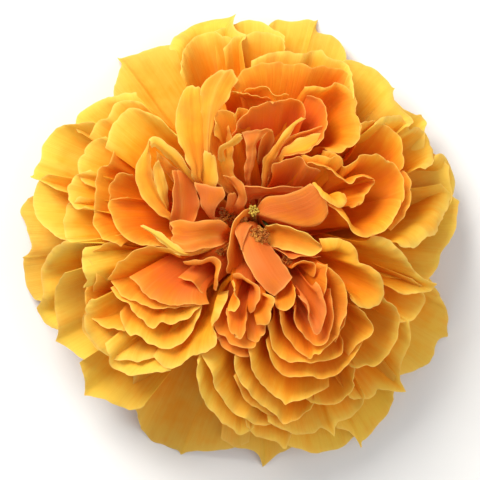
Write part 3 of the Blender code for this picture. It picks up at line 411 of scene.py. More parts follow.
OUTER = dict(ring=1, lean=5, rise=48, ruffle=0.5, frill=0.24, jag=0.22, roll=(16, 1.1), wide=0.7, tone=0.2)
petal("outer_01", OUTER, (-8, 46, 3), (-6, 48.3, 3), (-2, 49.6, 3), (2.5, 50, 3), (5.7, 49.3, 3),
      (6.7, 46, 4))
petal("outer_02", OUTER, (-19, 40, 2), (-18, 46, 1), (-13, 50, 1), (-6, 48.5, 2))
petal("outer_03", OUTER, (-1, 43), (3, 44.6), (7.5, 45.2), (12, 44.6), (14, 45), (18, 43.6), (22.5, 42),
      (24, 37), (24.5, 33), lift=3, tips=((0.48, 0.8, 0.03),))
petal("outer_04", OUTER, (30, 27, 4), (34, 28.3, 3), (37.5, 27.6, 2), (38.8, 25.5, 2), (42, 25.2, 1),
      (44, 22.5, 1), (44, 19.5, 1), (41, 16, 3), roll=(60, 2.4), lean=-20)
petal("outer_05", OUTER, (44.5, 18, 2), (47.5, 15, 1), (48, 11, 1), (46, 6.5, 2), (44, 3.5, 3), (40, 0.3, 4),
      (36, -2.2, 5), lean=20, roll=(85, 5.5))
petal("outer_06", OUTER, (29, -0.5, 2), (34, -2.8, 2), (37.5, -7, 2), (40, -11, 2), (43, -14, 2),
      (40, -15.5, 1.5), (36, -15, 0), tips=((0.66, 1.6, 0.04),), roll=(30, 1.2), heart=(30, -8))
petal("outer_07", OUTER, (38, -11), (42, -15.5), (41.8, -18), (39.5, -21.5), (35.5, -23))
petal("outer_08", OUTER, (38, -22, 2), (38.2, -28, 2), (36, -33, 2), (34.6, -38.5, 1), (31, -40, 1),
      (28, -41.5, 1), (23, -41.5, 2), tips=((0.55, 1.8, 0.03),))
petal("outer_09", OUTER, (27, -41, 3), (25, -45, 2), (22, -47, 2), (19, -47.5, 2), (17.5, -48.6, 2),
      (12, -50.7, 2), (8, -50, 2), (3, -47.5, 3), tips=((0.42, 2.2, 0.025),))
petal("outer_10", OUTER, (8.5, -50, 1), (6.5, -52, 1), (2.5, -51.8, 1), (-1, -50.5, 1), (-2.5, -47.5, 2),
      tips=((0.2, 1.8, 0.05),))
petal("outer_11", OUTER, (-1, -49), (-4, -50.7), (-7.5, -48.5), (-11, -45), (-14, -40.5), (-15, -36),
      (-15, -32), lift=2)
petal("outer_12", OUTER, (-22, -34.6, 4), (-27, -35.2, 3), (-32, -35.8, 3), (-36, -34, 3), (-37, -31, 4),
      (-38, -28, 4))
petal("outer_13", OUTER, (-36.5, -31, 3), (-39, -29.5, 3), (-42.3, -25.5, 3), (-42.7, -21, 3), (-41, -17, 4),
      roll=(55, 3))
petal("outer_14", OUTER, (-42, -12, 3), (-43.5, -14, 3), (-43, -10.5, 4), (-44, -7, 4), (-43, -4, 5),
      frill=0.5)
petal("outer_15", OUTER, (-44, -4, 4), (-47, -2.5, 4), (-48.5, 1, 3), (-48, 4.5, 3), (-47, 7.5, 3),
      (-44, 9, 4), ruffle=1.2, frill=0.5)
petal("outer_16", OUTER, (-43, 6), (-47, 8), (-47.3, 11), (-45.5, 14.2), (-42, 15), lift=4, frill=0.4)
petal("outer_17", OUTER, (-43, 12, 3), (-44.6, 15, 3), (-44.3, 19, 3), (-42, 22, 3), (-38, 23.8, 4))
petal("outer_18", OUTER, (-42, 24), (-40, 27.5), (-37.5, 29), (-35, 32.3), (-32, 32.8), (-28, 31.5), lift=3)
petal("outer_19", OUTER, (-38, 21, 4), (-36.8, 25, 4), (-34.5, 29, 4), (-31, 31, 4), (-27, 29.5, 4),
      (-22, 26, 3), (-18, 23, 0))

TOP = dict(heart=(8, 28), lean=36, rise=74, ruffle=0.4, roll=(12, 0.6), tone=0.55)
petal("top_04", TOP, (-6.2, 24.3), (-5, 27, 1), (-3.4, 29.3, 2), (-1, 30.8, 2.5), (2.5, 32.3, 3),
      (5, 32.8, 3), (7, 32.8, 3), (8.6, 33.4, 3), (10.2, 33.2, 3), (11.5, 31.8, 2.5), (12, 29.8, 2),
      (12, 28.4, 1), heart=(3, 26), lean=72, tone=0.8, fan=0.1, ruffle=0.2, deep=0.55)
petal("top_05", TOP, (12.5, 34.2, 2), (14, 34, 2), (16, 32.5, 2), (17.4, 30.8, 2), (17.6, 28.5, 2),
      (17.3, 26, 2), (16.5, 24, 2), (15, 21.9, 2), (12.8, 20.2, 2), (10, 19.3, 2), (7, 19.1, 1.5),
      heart=(12, 27), lean=66, tone=0.8, fan=0.1, ruffle=0.2, deep=0.45)
leaf("top_06", TOP, left=((1.2, 12.2, -9), (1.3, 16, -6.5), (1.8, 18.6, -5), (3.6, 20.6, -3.5), (5.2, 23, -2),
     (7.8, 26.2, -0.5), (11, 28.6, 0.8)), right=((2.4, 12, -9.5), (3.4, 16.5, -7), (4.2, 18, -5.5),
     (5.3, 20.2, -4), (6.6, 22.4, -2.4), (8.6, 24.8, -1), (9.8, 26.9, 0), (12, 28.3, 0.8)), stand=80,
     crown=0.4, tone=0.45)
leaf("top_07", TOP, left=((4.6, 18.5, -6), (6.4, 22, -3.5), (9, 24.1, -2), (12.5, 25.3, -0.8),
     (16.3, 26.6, 0.5)), right=((5.5, 18, -7), (8, 21, -5), (11, 22.8, -4), (14, 23.9, -2.5),
     (16.6, 25.2, -0.5)), stand=65, crown=-0.3, tone=0.7)
leaf("top_14", TOP, left=((5, 18.5, -6), (7, 21, -3.8), (10, 23, -2.5), (13.5, 24.3, -1), (16.2, 25, 0.2)),
     right=((6.8, 18.9, -2), (8.5, 19.3, -0.5), (11.2, 19.7, 0.5), (13.5, 21, 1.2), (15.6, 23, 1.4)),
     stand=60, crown=-0.8, tone=0.45)
leaf("top_08", TOP, left=((-3, 13.8, -7), (-3.4, 15.5, -5), (-2.8, 18, -4), (-2.7, 20, -3), (-3, 22.5, -1.5),
     (-3.8, 24.9, -0.5)), right=((-1.8, 14, -7), (-1, 16.5, -5.5), (-0.3, 19, -4.2), (-0.2, 21.5, -3),
     (1, 23.6, -1.8), (3.8, 25.7, -0.5)), stand=95, crown=0.6, end=0.4, tone=0.9, ridge=(0.5, 0.62))
leaf("top_16", TOP, left=((0.2, 19, -8), (0.5, 21.5, -6), (1.2, 23.3, -3.5), (2.5, 25, -1.8)),
     right=((3.2, 19, -9), (3.9, 21.5, -6.5), (4.3, 23.7, -4), (3.9, 25.5, -1.2)), stand=85, crown=-0.4,
     tone=0.6)
leaf("top_09", TOP, left=((-9.5, 21, -1.5), (-7, 22.8, -0.5), (-5, 24.7, 0.3), (-3.9, 24.4, 0.2)),
     right=((-8.3, 20.8, -3), (-6, 21.4, -2.5), (-4.6, 22.2, -2), (-3.7, 23.3, -1)), stand=115, crown=0.3,
     tone=0.25)
leaf("top_12", TOP, left=((-15.8, 13.5, -1), (-16.8, 16, 0.5), (-18.3, 19.5, 1.2), (-20, 24, 1.8),
     (-20.3, 28, 2), (-19.8, 32, 2.3), (-18.4, 35.6, 2.5)), right=((-14.4, 13.5, -2.5), (-13.2, 16, -2),
     (-12.2, 19, -1.5), (-11.7, 23, -1), (-12, 27, -0.4), (-12.8, 31, 0.4), (-13.8, 35, 1.4)), stand=120,
     crown=1.0, end=1, tone=0.5, ruffle=0.7, frill=0.3, jag=0.4)
leaf("top_17", TOP, left=((-12.8, 17, -2), (-13.4, 20, -0.5), (-13.6, 24, 0.6), (-14, 28, 1.4),
     (-14.3, 32, 1.9), (-14.2, 35, 2.2), (-12.8, 37.8, 2.5)), right=((-12, 17, -3), (-12.2, 20, -1.5),
     (-11.8, 23.5, -0.5), (-10.5, 27.5, 0.3), (-8.6, 31.5, 1), (-6.6, 34.8, 1.5), (-5, 38, 2)), stand=112,
     crown=1, end=3, tone=0.58, ruffle=0.7, frill=0.3, jag=0.4, ridge=(0.4, 0.5))
leaf("top_13", TOP, left=((-8, 10.5, -6), (-10, 12.5, -4), (-11.5, 16, -2.5), (-13.2, 20, -1), (-13, 23.5, 0),
     (-11, 27, 0.5)), right=((-4, 11, -9), (-5.5, 14, -7), (-6, 18, -6), (-6, 21.5, -5), (-6.5, 24.5, -3),
     (-7.5, 28, -1)), stand=115, crown=-1, tone=0.5)
petal("top_01", TOP, (-6, 37), (-3, 40.6), (2, 42.3), (7.5, 42.4), (13, 41.5), (18, 41.2), (22.5, 40),
      (23.5, 35), lift=2, lean=15)
petal("top_02", TOP, (12, 36.2, 3), (17, 35.6, 3), (21, 36.3, 3), (23.9, 34, 2), (24.3, 30, 2),
      (25.7, 26.5, 2), (25, 23, 2), (22, 20.7, 2), (17, 21, 1), roll=(60, 1.6))
petal("top_03", TOP, (-3, 35, 2), (0.5, 36.4, 3), (3, 36, 3), (5, 34.3, 3), (8, 34.5, 3), lean=80, foot=0.5)
petal("top_10", TOP, (-10.8, 24, 1), (-10.6, 29, 2), (-8.8, 30.8, 2), (-7, 30.3, 2), (-5.8, 28.7, 2),
      (-4.6, 31, 2), (-2, 30.5, 2), heart=(-5, 24), frill=0.5)
petal("top_15", TOP, (-9, 33.8), (-7, 34.9), (-3, 35), (0, 34.3), (3.5, 33.6), lift=1, lean=75, foot=0.5)

RIGHT = dict(heart=(27, 9), lean=35, rise=70, ruffle=0.3, roll=(12, 0.6), tone=0.5)
petal("right_01", RIGHT, (20.5, 18.5, 2), (21.7, 16.2, 1), (23.5, 17, 2), (26, 19, 2), (29, 19.7, 2),
      (33, 18, 2), (36, 14.5, 2), (36.5, 10, 2), (35.3, 5, 1), lean=50)
petal("right_02", RIGHT, (36, 8, 3), (35, 4.5, 3), (33, 1.5, 3), (30, -0.7, 3), (27, -1.4, 3), (24, 0.3, 3),
      (21.3, 3.8, 3), (17.5, 7, 1), lean=45)
petal("right_03", RIGHT, (25, 24), (25.8, 26.8), (29, 27.7), (33, 26.3), (36, 23), (36.8, 19.5), (36.3, 16),
      lift=2)
petal("right_04", RIGHT, (36.5, 15.5), (38.3, 13.5), (38.9, 10.5), (38, 6.5), (36, 3), (33.5, 0.6), lift=1)
petal("right_05", RIGHT, (12.5, 17.2), (15, 16.6), (18.5, 15), (21, 13.2), (23.2, 12.3), (24.7, 13.6),
      (27, 14), (29.3, 13), lift=3, heart=(22, 20), lean=60, tone=0.6)
petal("right_06", RIGHT, (13.8, 12.3), (15.5, 9.8), (18, 7.6), (20.5, 6.2), (22.2, 7.2), (21.5, 9.5), lift=3,
      heart=(17.5, 12), lean=5, roll=(60, 1.2), tone=0.4)
petal("right_07", RIGHT, (3.6, 15, 0), (5, 17.3, 1), (8, 18.2, 1), (11, 18.5, 2), (12.5, 16.8, 2),
      (16, 15.5, 2), heart=(9, 12), ring=3, lean=60, tone=0.8, deep=0.45)
petal("right_08", RIGHT, (29.5, 13), (28.7, 10.8), (26.8, 9.2), (26.3, 6.8), (23.5, 6), lift=1,
      heart=(23, 10), lean=25, tone=0.6)
petal("right_09", RIGHT, (11, 19.3, 3), (15, 19, 3), (18, 18.6, 3), (20.2, 19.6, 3), (21.6, 17, 2),
      heart=(16, 14), lean=15)
petal("right_10", RIGHT, (16.5, 20.5), (19, 20.3), (20.5, 19), (21.5, 16.5), lift=1, heart=(17, 17), lean=15)

LOW = dict(heart=(14, -18), lean=42, rise=76, ruffle=0.35, frill=0.22, jag=0.2, notches=0, roll=(8, 0.4),
           tone=0.5)
petal("low_01", LOW, (15.5, -1.9, 2), (22, -2, 2), (25, -4.8, 2), (25.8, -8, 2), (29.5, -10.5, 2),
      (31.3, -14, 1), (30.8, -17.5, 1), (28, -18.9, 1), (25.5, -18, 1), (23.3, -15, 1), heart=(22, -9),
      lean=0, roll=(50, 2), tone=0.4)
petal("low_02", LOW, (10.2, -16), (12.8, -19), (13.2, -22), (15.2, -25), (16.7, -22), (17, -17),
      (14.5, -12.5), lift=3, tips=((0.42, 0.6, 0.04),), heart=(13.8, -17), lean=5, roll=(40, 1), tone=1)
petal("low_03", LOW, (9.3, -18.5), (9.5, -22), (12, -26.3), (14.5, -28.4), (17.2, -27.8), (18.5, -24),
      (19, -20), (18.5, -14), lift=2, tone=0.8, frill=0.35)
petal("low_04", LOW, (5.6, -18), (5.8, -22.5), (8, -27), (11, -30.2), (13.3, -31.6), (14.5, -30), (18, -28),
      (21.3, -24), (22.4, -18), (21.5, -12), lift=1, tips=((0.5, 1, 0.03),), tone=0.6)
petal("low_05", LOW, (2.6, -23), (4, -29), (7, -32), (12, -32.6), (17, -32.2), (21, -30.7), (21.3, -27),
      lift=1)
petal("low_06", LOW, (2.5, -27), (4.5, -33.5), (8, -36.4), (12, -36.1), (17, -36.6), (21, -34.8), (25, -30),
      (26.7, -27), lift=1)
petal("low_07", LOW, (23, -31), (26.3, -27), (28.4, -25.8), (29, -23.5), (27, -20.4), (25, -18.5), lift=1)
petal("low_08", LOW, (-2.2, -29), (-1, -35), (2, -38.7), (5, -41), (10, -42.2), (14, -41), (18, -38.6),
      lift=1, tone=0.4, tips=((0.62, 1.0, 0.04),))
petal("low_09", LOW, (12.5, -42), (16, -43.2), (20, -42.9), (23.3, -40.3), (23.9, -36.5), (24.5, -33.5),
      lift=1, tone=0.3, frill=0.3)
petal("low_10", LOW, (-5.7, -31), (-4.5, -36.5), (-1, -41.5), (4, -45), (8, -47), (12, -45.5), (14, -42),
      lift=1, tips=((0.7, 0.9, 0.05),), tone=0.3)
petal("low_11", LOW, (-14, -30.5, 2), (-11.6, -35, 2), (-11, -38, 2), (-8, -42.3, 2), (-6, -45, 2),
      (-3, -46.6, 2), (0, -48.4, 1), (4, -48, 1), tone=0.25)
petal("low_12", LOW, (31, -16), (34.5, -19), (35.6, -24), (34.6, -28), (32.5, -30.7), (31, -32.5),
      (27, -33.5), (23.5, -34), lift=1, tone=0.2)
petal("low_13", LOW, (-6, -36), (-3.5, -41), (0, -44), (4, -46), lift=0, tone=0.35)
petal("low_14", LOW, (20, -27.5, 2), (21, -23, 2), (22.5, -18, 2), (22, -13, 2), (19, -9.5, 2), (15, -7.8, 1),
      lean=40, tone=0.6)
petal("low_15", LOW, (17.5, -8, 3), (17.3, -13, 3), (16.5, -17, 2), heart=(13, -13), ring=3, lean=70,
      tone=0.7)
petal("low_16", LOW, (8.5, -8.5), (11, -7), (14.5, -8), (14, -11), lift=1, heart=(11.5, -12), ring=3, lean=60,
      tone=0.7)
petal("low_17", LOW, (4.5, -16, 0), (4.6, -19, 1), (7, -19.6, 2), (9, -18.5, 2), (9.5, -14, 2),
      heart=(8, -14), ring=3, lean=35, tone=0.6)

MID = dict(heart=(-3, -19), ring=3, lean=30, rise=78, ruffle=0.3, roll=(10, 0.5), tone=0.75)
petal("mid_01", MID, (-11, -23), (-9, -25.8), (-6, -28), (-2.5, -29.3), (-0.7, -28.8), (0.5, -26), lift=1)
petal("mid_02", MID, (-7.6, -19), (-7.4, -23), (-6, -26), (-4.3, -27), (-3, -25), (-2.6, -20), lift=2,
      heart=(-5, -20), lean=10)
petal("mid_03", MID, (1.5, -15.2), (4.1, -16.5), (4.1, -20), (2.5, -22.8), (0, -23.3), lift=3, heart=(0, -19),
      lean=5, tone=0.6)
petal("mid_04", MID, (-6, -10.3, 3), (-3, -10.9, 3), (-0.2, -13, 3), (0.8, -16, 3), (-0.2, -19, 3),
      (-1.8, -20.4, 2), heart=(-3, -15), lean=15, tone=0.8)
petal("mid_05", MID, (1.9, -23), (1.6, -26), (0.2, -27.6), (-2.4, -26.8), lift=1, frill=0.5)
petal("mid_06", MID, (-6.2, -12), (-5, -15), (-4.6, -18), (-5.3, -20.3), (-7.3, -19.8), lift=3,
      heart=(-7, -16), lean=20, tone=0.5)
petal("mid_07", MID, (-11, -26), (-8, -29.3), (-4, -31.2), (-1, -30.5), lift=0, ring=2)

LEFT = dict(heart=(-24, -12), lean=38, rise=74, ruffle=0.35, frill=0.28, notches=0, roll=(12, 0.6), tone=0.5)
petal("left_01", LEFT, (-37.3, -12), (-35, -8.2), (-31.5, -5.2), (-28, -4), (-23, -4), (-19, -5.5), lift=2,
      lean=50)
petal("left_02", LEFT, (-32, -11.3, 2), (-29.5, -13.7, 2), (-27, -16.2, 2), (-23.5, -18, 2), (-19, -18.2, 2),
      (-12, -18, 1), heart=(-20, -9), lean=8, tone=0.8, deep=0.4)
petal("left_03", LEFT, (-36.6, -12.3), (-34, -15.7), (-31, -17.2), (-27, -18.7), (-22, -19), (-15, -18.6),
      lift=1, heart=(-22, -8))
petal("left_04", LEFT, (-36.7, -14), (-34.3, -17), (-32.3, -17.8), (-30.5, -20.3), (-27, -23), (-24, -22.3),
      (-20, -22.8), (-16, -20.5), (-13, -17.5), lift=1, tips=((0.5, 0.8, 0.04),), tone=0.4)
petal("left_05", LEFT, (-34.3, -20), (-32.8, -24), (-30, -25), (-26.5, -28), (-23, -29.2), (-19, -28),
      (-16, -24), (-13.5, -18.5), lift=1, tips=((0.2, 0.9, 0.05),), tone=0.35)
petal("left_06", LEFT, (-42.5, -13), (-42.7, -19), (-40.5, -22.3), (-37, -23.8), (-33, -25), lift=1,
      tone=0.35)
petal("left_07", LEFT, (-42.6, -20), (-42.8, -24.5), (-40.5, -28), (-37, -30.5), (-33, -31.7), (-28, -31.5),
      (-24, -30.5), lift=1, roll=(50, 2), tone=0.25)
petal("left_08", LEFT, (-26, -31, 2), (-24, -33, 2), (-21, -34.3, 2), (-18, -32, 2), (-15, -30.7, 2),
      (-11.5, -29.4, 2), (-9.8, -27.5, 2), (-11.2, -24, 2), (-8.6, -19.5, 1.5), (-7, -14.5, -2),
      heart=(-15, -21), lean=5, ruffle=1, tone=0.3, frill=0.4)
petal("left_09", LEFT, (-18.5, -7.4, 2), (-14.5, -7, 2), (-10.8, -6, 2), (-9.2, -7.5, 2), (-9.7, -11.5, 2),
      (-10.3, -14.8, 1), heart=(-14, -11), ring=3, lean=20, tone=0.7)
petal("left_10", LEFT, (-19.7, -11.2, 2), (-16.5, -12.4, 2), (-13.2, -15.6, 1), heart=(-14, -9), ring=3,
      lean=60, tone=0.8)
petal("left_11", LEFT, (-41, -15, 1), (-40.5, -10, 2), (-42, -6.5, 2), (-39, -3.5, 2), (-35, -2.5, 2),
      frill=0.4)

RING = dict(heart=(-26, 7), lean=52, rise=74, ruffle=0.35, roll=(12, 0.6), tone=0.55)
petal("ring_01", RING, (-32.5, 8.4, 2), (-34.5, 8.2, 2), (-36, 7.6, 2), (-36.8, 6.3, 2), (-36.3, 4, 2),
      (-35.5, 2, 2), (-34.5, 0, 2), (-33, -1.6, 2), (-31, -2.7, 2), (-28.5, -3.3, 1.5), (-26, -3.6, 1),
      (-21, -3.9), heart=(-27, 5), lean=46, deep=0.35)
leaf("ring_02", RING, left=((-20.5, 2.2, -4), (-22.5, 3.2, -1.5), (-25, 4.6, 0.3), (-27, 6.6, 1.2),
     (-28.8, 9, 2), (-30, 12, 2.6), (-30.4, 14.5, 3), (-30, 17, 3.2), (-29, 19, 3.2), (-28, 20.3, 3.4),
     (-27.2, 22.5, 3.6)), right=((-20.8, 3.5, -6), (-22.3, 5.5, -4), (-23.8, 8, -2.5), (-25.2, 11, -1),
     (-26.2, 13.5, 0.5), (-26.4, 15.5, 1.5), (-26.5, 17.5, 2.2), (-26.8, 19.5, 2.8), (-27, 21, 3.2),
     (-26.8, 22.8, 3.6)), stand=165, crown=1.0, tone=0.5)
leaf("ring_14", RING, left=((-21.8, 3.2, -5), (-23, 5.3, -3.5), (-24.5, 8, -2), (-25.6, 12, -0.4),
     (-26, 15.5, 1), (-25.4, 17.5, 1.8)), right=((-21.3, 3.8, -7), (-21.9, 6, -5), (-22.2, 9, -3.8),
     (-22.6, 12.5, -2.5), (-23.6, 15.5, -1), (-24.8, 18, 0.8)), stand=160, crown=0.2, tone=0.3)
leaf("ring_03", RING, left=((-16.3, 14.8, -1.5), (-18, 17.3, 0.5), (-20, 19.9, 1.8), (-22, 21.6, 2.6),
     (-24, 23.3, 3.2), (-26, 24, 3.5), (-27.2, 22.8, 3.5)), right=((-17.5, 14, -5), (-19.5, 16, -3.5),
     (-21.3, 17.9, -1.5), (-23.4, 19.6, 0.3), (-25, 20.9, 1.6), (-25.6, 21.4, 2.3), (-26.4, 21, 2.8)),
     stand=140, crown=0.6, tone=0.3)
leaf("ring_15", RING, left=((-18, 13.5, -7), (-20, 15.8, -5.5), (-22, 17.6, -3.8), (-24, 19.2, -2),
     (-25.2, 20.2, -0.5)), right=((-20.5, 12.5, -8), (-22, 14, -6.5), (-23.5, 15.5, -4.5), (-24.6, 17, -3),
     (-25.2, 18.6, -1.5)), stand=145, crown=0.3, tone=0.5)
leaf("ring_12", RING, left=((-21.7, 0.5, -3), (-21.4, 4, -2), (-21.2, 8, -1.5), (-21, 12, -1),
     (-21.2, 15.5, -1.2)), right=((-16.5, 1, -6), (-15, 4.5, -6), (-14.5, 8, -6), (-15.5, 12, -5),
     (-17, 15.5, -3.5)), stand=170, crown=-0.8, tone=0.85, deep=0.25, ridge=(0.6, 0.35))
leaf("ring_06", RING, left=((-11.5, 3.6, -4), (-13, 5, -2.5), (-14.2, 8, -1.5), (-15, 10.5, -1),
     (-15.6, 12.5, -0.5)), right=((-10.6, 3.9, -4), (-10.5, 5.6, -1.5), (-9.3, 7.4, -0.3), (-8, 9, 0.3),
     (-8.6, 11.2, 0.6)), stand=150, crown=0.8, tone=1)
leaf("ring_05", RING, left=((-7.5, 1.5, -3.5), (-9, 2.9, -1.2), (-11.5, 3.2, -0.2), (-14, 2.8, 0.3),
     (-17, 2.6, 0.8), (-19.5, 3.1, 1.2), (-21.6, 2.2, 0.6)), right=((-8, -2.5, -5), (-9, -3.5, -2.5),
     (-11.5, -4, -1.5), (-14.5, -4.4, -0.5), (-17, -4.9), (-19.5, -5.2, 0.2), (-21.8, -3.2, 0)), stand=180,
     crown=-0.8, end=-0.5, tone=0.75, ruffle=0.5, frill=0.3, jag=0.3, deep=0.3, ridge=(0.45, 0.75))
leaf("ring_07", RING, left=((-18, -4.6, 0.2), (-20.5, -3, 1.2), (-23, -1, 1.5), (-26, 0.7, 1.7),
     (-28.5, 1.7, 1.8)), right=((-18.6, -5.9, 0.2), (-21, -4.9, 0.9), (-23.4, -3, 1.2), (-26, -0.7, 1.4),
     (-28.3, 1, 1.6)), stand=178, crown=0.5, end=0.5, tone=0.2, ruffle=0.2, frill=0.2, jag=0.3)
leaf("ring_13", RING, left=((-15, 11.5, -4), (-14.8, 14, -2.5), (-14.5, 17, -1.2), (-13, 20.5, -0.3)),
     right=((-10.2, 11.2, -2.5), (-9.7, 13.2, -1.5), (-10, 16, -1.5), (-10.5, 19, -1)), stand=130, crown=0.5,
     tone=0.3)
petal("ring_08", RING, (-36.8, 7), (-36.6, 12.3), (-34, 14.6), (-31, 14.8), lift=1)
petal("ring_09", RING, (-40.5, 4), (-40.3, 13), (-39, 16.5), (-36.5, 17.5), (-35, 22), lift=2, tone=0.45)
petal("ring_10", RING, (-40.5, 5), (-40.5, 1), (-38, -2), (-34, -3.5), lift=2, tone=0.5)

HEART = dict(heart=(0, 0), ring=4, lean=20, rise=80, ruffle=0.2, roll=(12, 0.5), claw=1.4, tone=0.9)
leaf("heart_01", HEART, left=((-1.5, 1.5, -7), (-4.6, 1.6, -3.5), (-5.3, -0.3, -2), (-4.2, -3.5, -1),
     (-3, -7, 0), (-1, -10.5, 1), (1.3, -13.6, 1), (4.3, -16, 0.5)), right=((1, 0.5, -8), (2, -1.2, -6.5),
     (2.6, -2.6, -5.5), (4.2, -4.5, -4), (5.8, -6.8, -2.5), (7.4, -9.2, -1.2), (8.8, -11.3, -0.5)), stand=190,
     crown=1.3, end=0.3, tone=1, deep=0.05, jag=0.08, ruffle=0.16, frill=0.16)
leaf("heart_02", HEART, left=((-1.5, 5.9, -4.5), (-3, 5.2, -2.5), (-5, 3.4, -1), (-6.5, 0.5, -0.5),
     (-7.1, -4, -0.8), (-7.3, -8, -2), (-7.2, -10.5, -4)), right=((-1.8, 4.2, -8), (-3.2, 3.2, -7),
     (-4.6, 1.5, -7), (-5, -1.5, -7.5), (-4.2, -5, -9), (-3.2, -8, -11), (-2.8, -10.5, -13)), stand=100,
     crown=0.3, tone=0.6)
leaf("heart_03", HEART, left=((1.5, 0.5, -7), (2.5, 1.6, -4.5), (5, 1.9, -2.5), (8, 1.3, -1), (11, 0.3, -0.3),
     (13.7, -1.3, 0), (15.6, -3, 0)), right=((2, -2, -8.5), (3.8, -3.4, -6.5), (6.5, -4.3, -4.5), (9, -5, -3),
     (12, -5.8, -1.5), (14.3, -5.9, -0.8), (15.9, -4.6, -0.3)), stand=-15, crown=-1.6, end=0.5, tone=0.3,
     deep=0.45)
leaf("heart_04", HEART, left=((0.2, 5.5, -7), (0.8, 7.2, -4.5), (2.2, 8.7, -2.2), (4.5, 9.2, -0.8),
     (7, 9.4, 0.2), (10, 10.3, 0.8), (13.4, 12.1, 1)), right=((1.5, 3.2, -9), (4, 2.6, -6.5), (7.5, 1.4, -5),
     (10.5, 1, -3.8), (13.5, 1.4, -2.8), (16, 2.3, -2), (17.6, 4.3, -1.5)), stand=35, crown=2.6, end=1.6,
     ridge=(-1.0, 1.35), tone=0.8, deep=0.45, jag=0.1, ruffle=0.14, frill=0.2)
leaf("heart_05", HEART, left=((-3, 11.5, -3), (0, 11.4, -2.5), (4, 11.3, -2), (8, 11.2, -1.5),
     (11.5, 11, -1)), right=((-1.5, 8, -9), (1, 8.8, -8), (4, 9.3, -7), (7, 9, -6), (10.5, 9.5, -4)),
     stand=85, crown=0.3, tone=1)
leaf("heart_06", HEART, left=((-6, 5.8, -6), (-5.2, 7.5, -3.5), (-4.6, 9.3, -2), (-6, 12, -0.8),
     (-8.5, 14.3, 0)), right=((-3.2, 6, -5.5), (-2.7, 7.8, -2.8), (-2.7, 9.8, -1.2), (-3.3, 11.6, -0.3),
     (-5.3, 13.9, 0.5)), stand=110, crown=0.6, end=0.4, tone=0.85)
leaf("heart_07", HEART, left=((-7.8, 5.5, -7), (-7.6, 7.5, -4.5), (-7.2, 9.4, -3)), right=((-5, 5.5, -7),
     (-4.8, 7.8, -4.5), (-5.3, 9.8, -3)), stand=135, crown=0.5, end=0.6, tone=0.8)
leaf("heart_09", HEART, left=((-2.6, 2.4, -5), (-4.8, 2, -2.6), (-5.4, 0, -1.4), (-4.5, -2.6, -0.5),
     (-3.8, -4.6, 0)), right=((-1.2, 1.6, -5), (-2, 0.8, -2.4), (-2.6, -0.8, -1.2), (-3.4, -2.8, -0.4),
     (-3.7, -4.6, 0)), stand=190, crown=0.4, tone=1)
petal("heart_08", HEART, (5, -4.5), (9, -6.4), (13, -6), (16, -6.2), lift=-1, lean=60, stand=-35)


# ------------------------------------------------------------------ materials
def srgb(red, green, blue):
    """A colour given as 0..255 screen values, as the linear values that shaders take."""
    c = np.array([red, green, blue]) / 255
    return tuple(np.where(c <= 0.04045, c / 12.92, ((c + 0.055) / 1.055) ** 2.4))


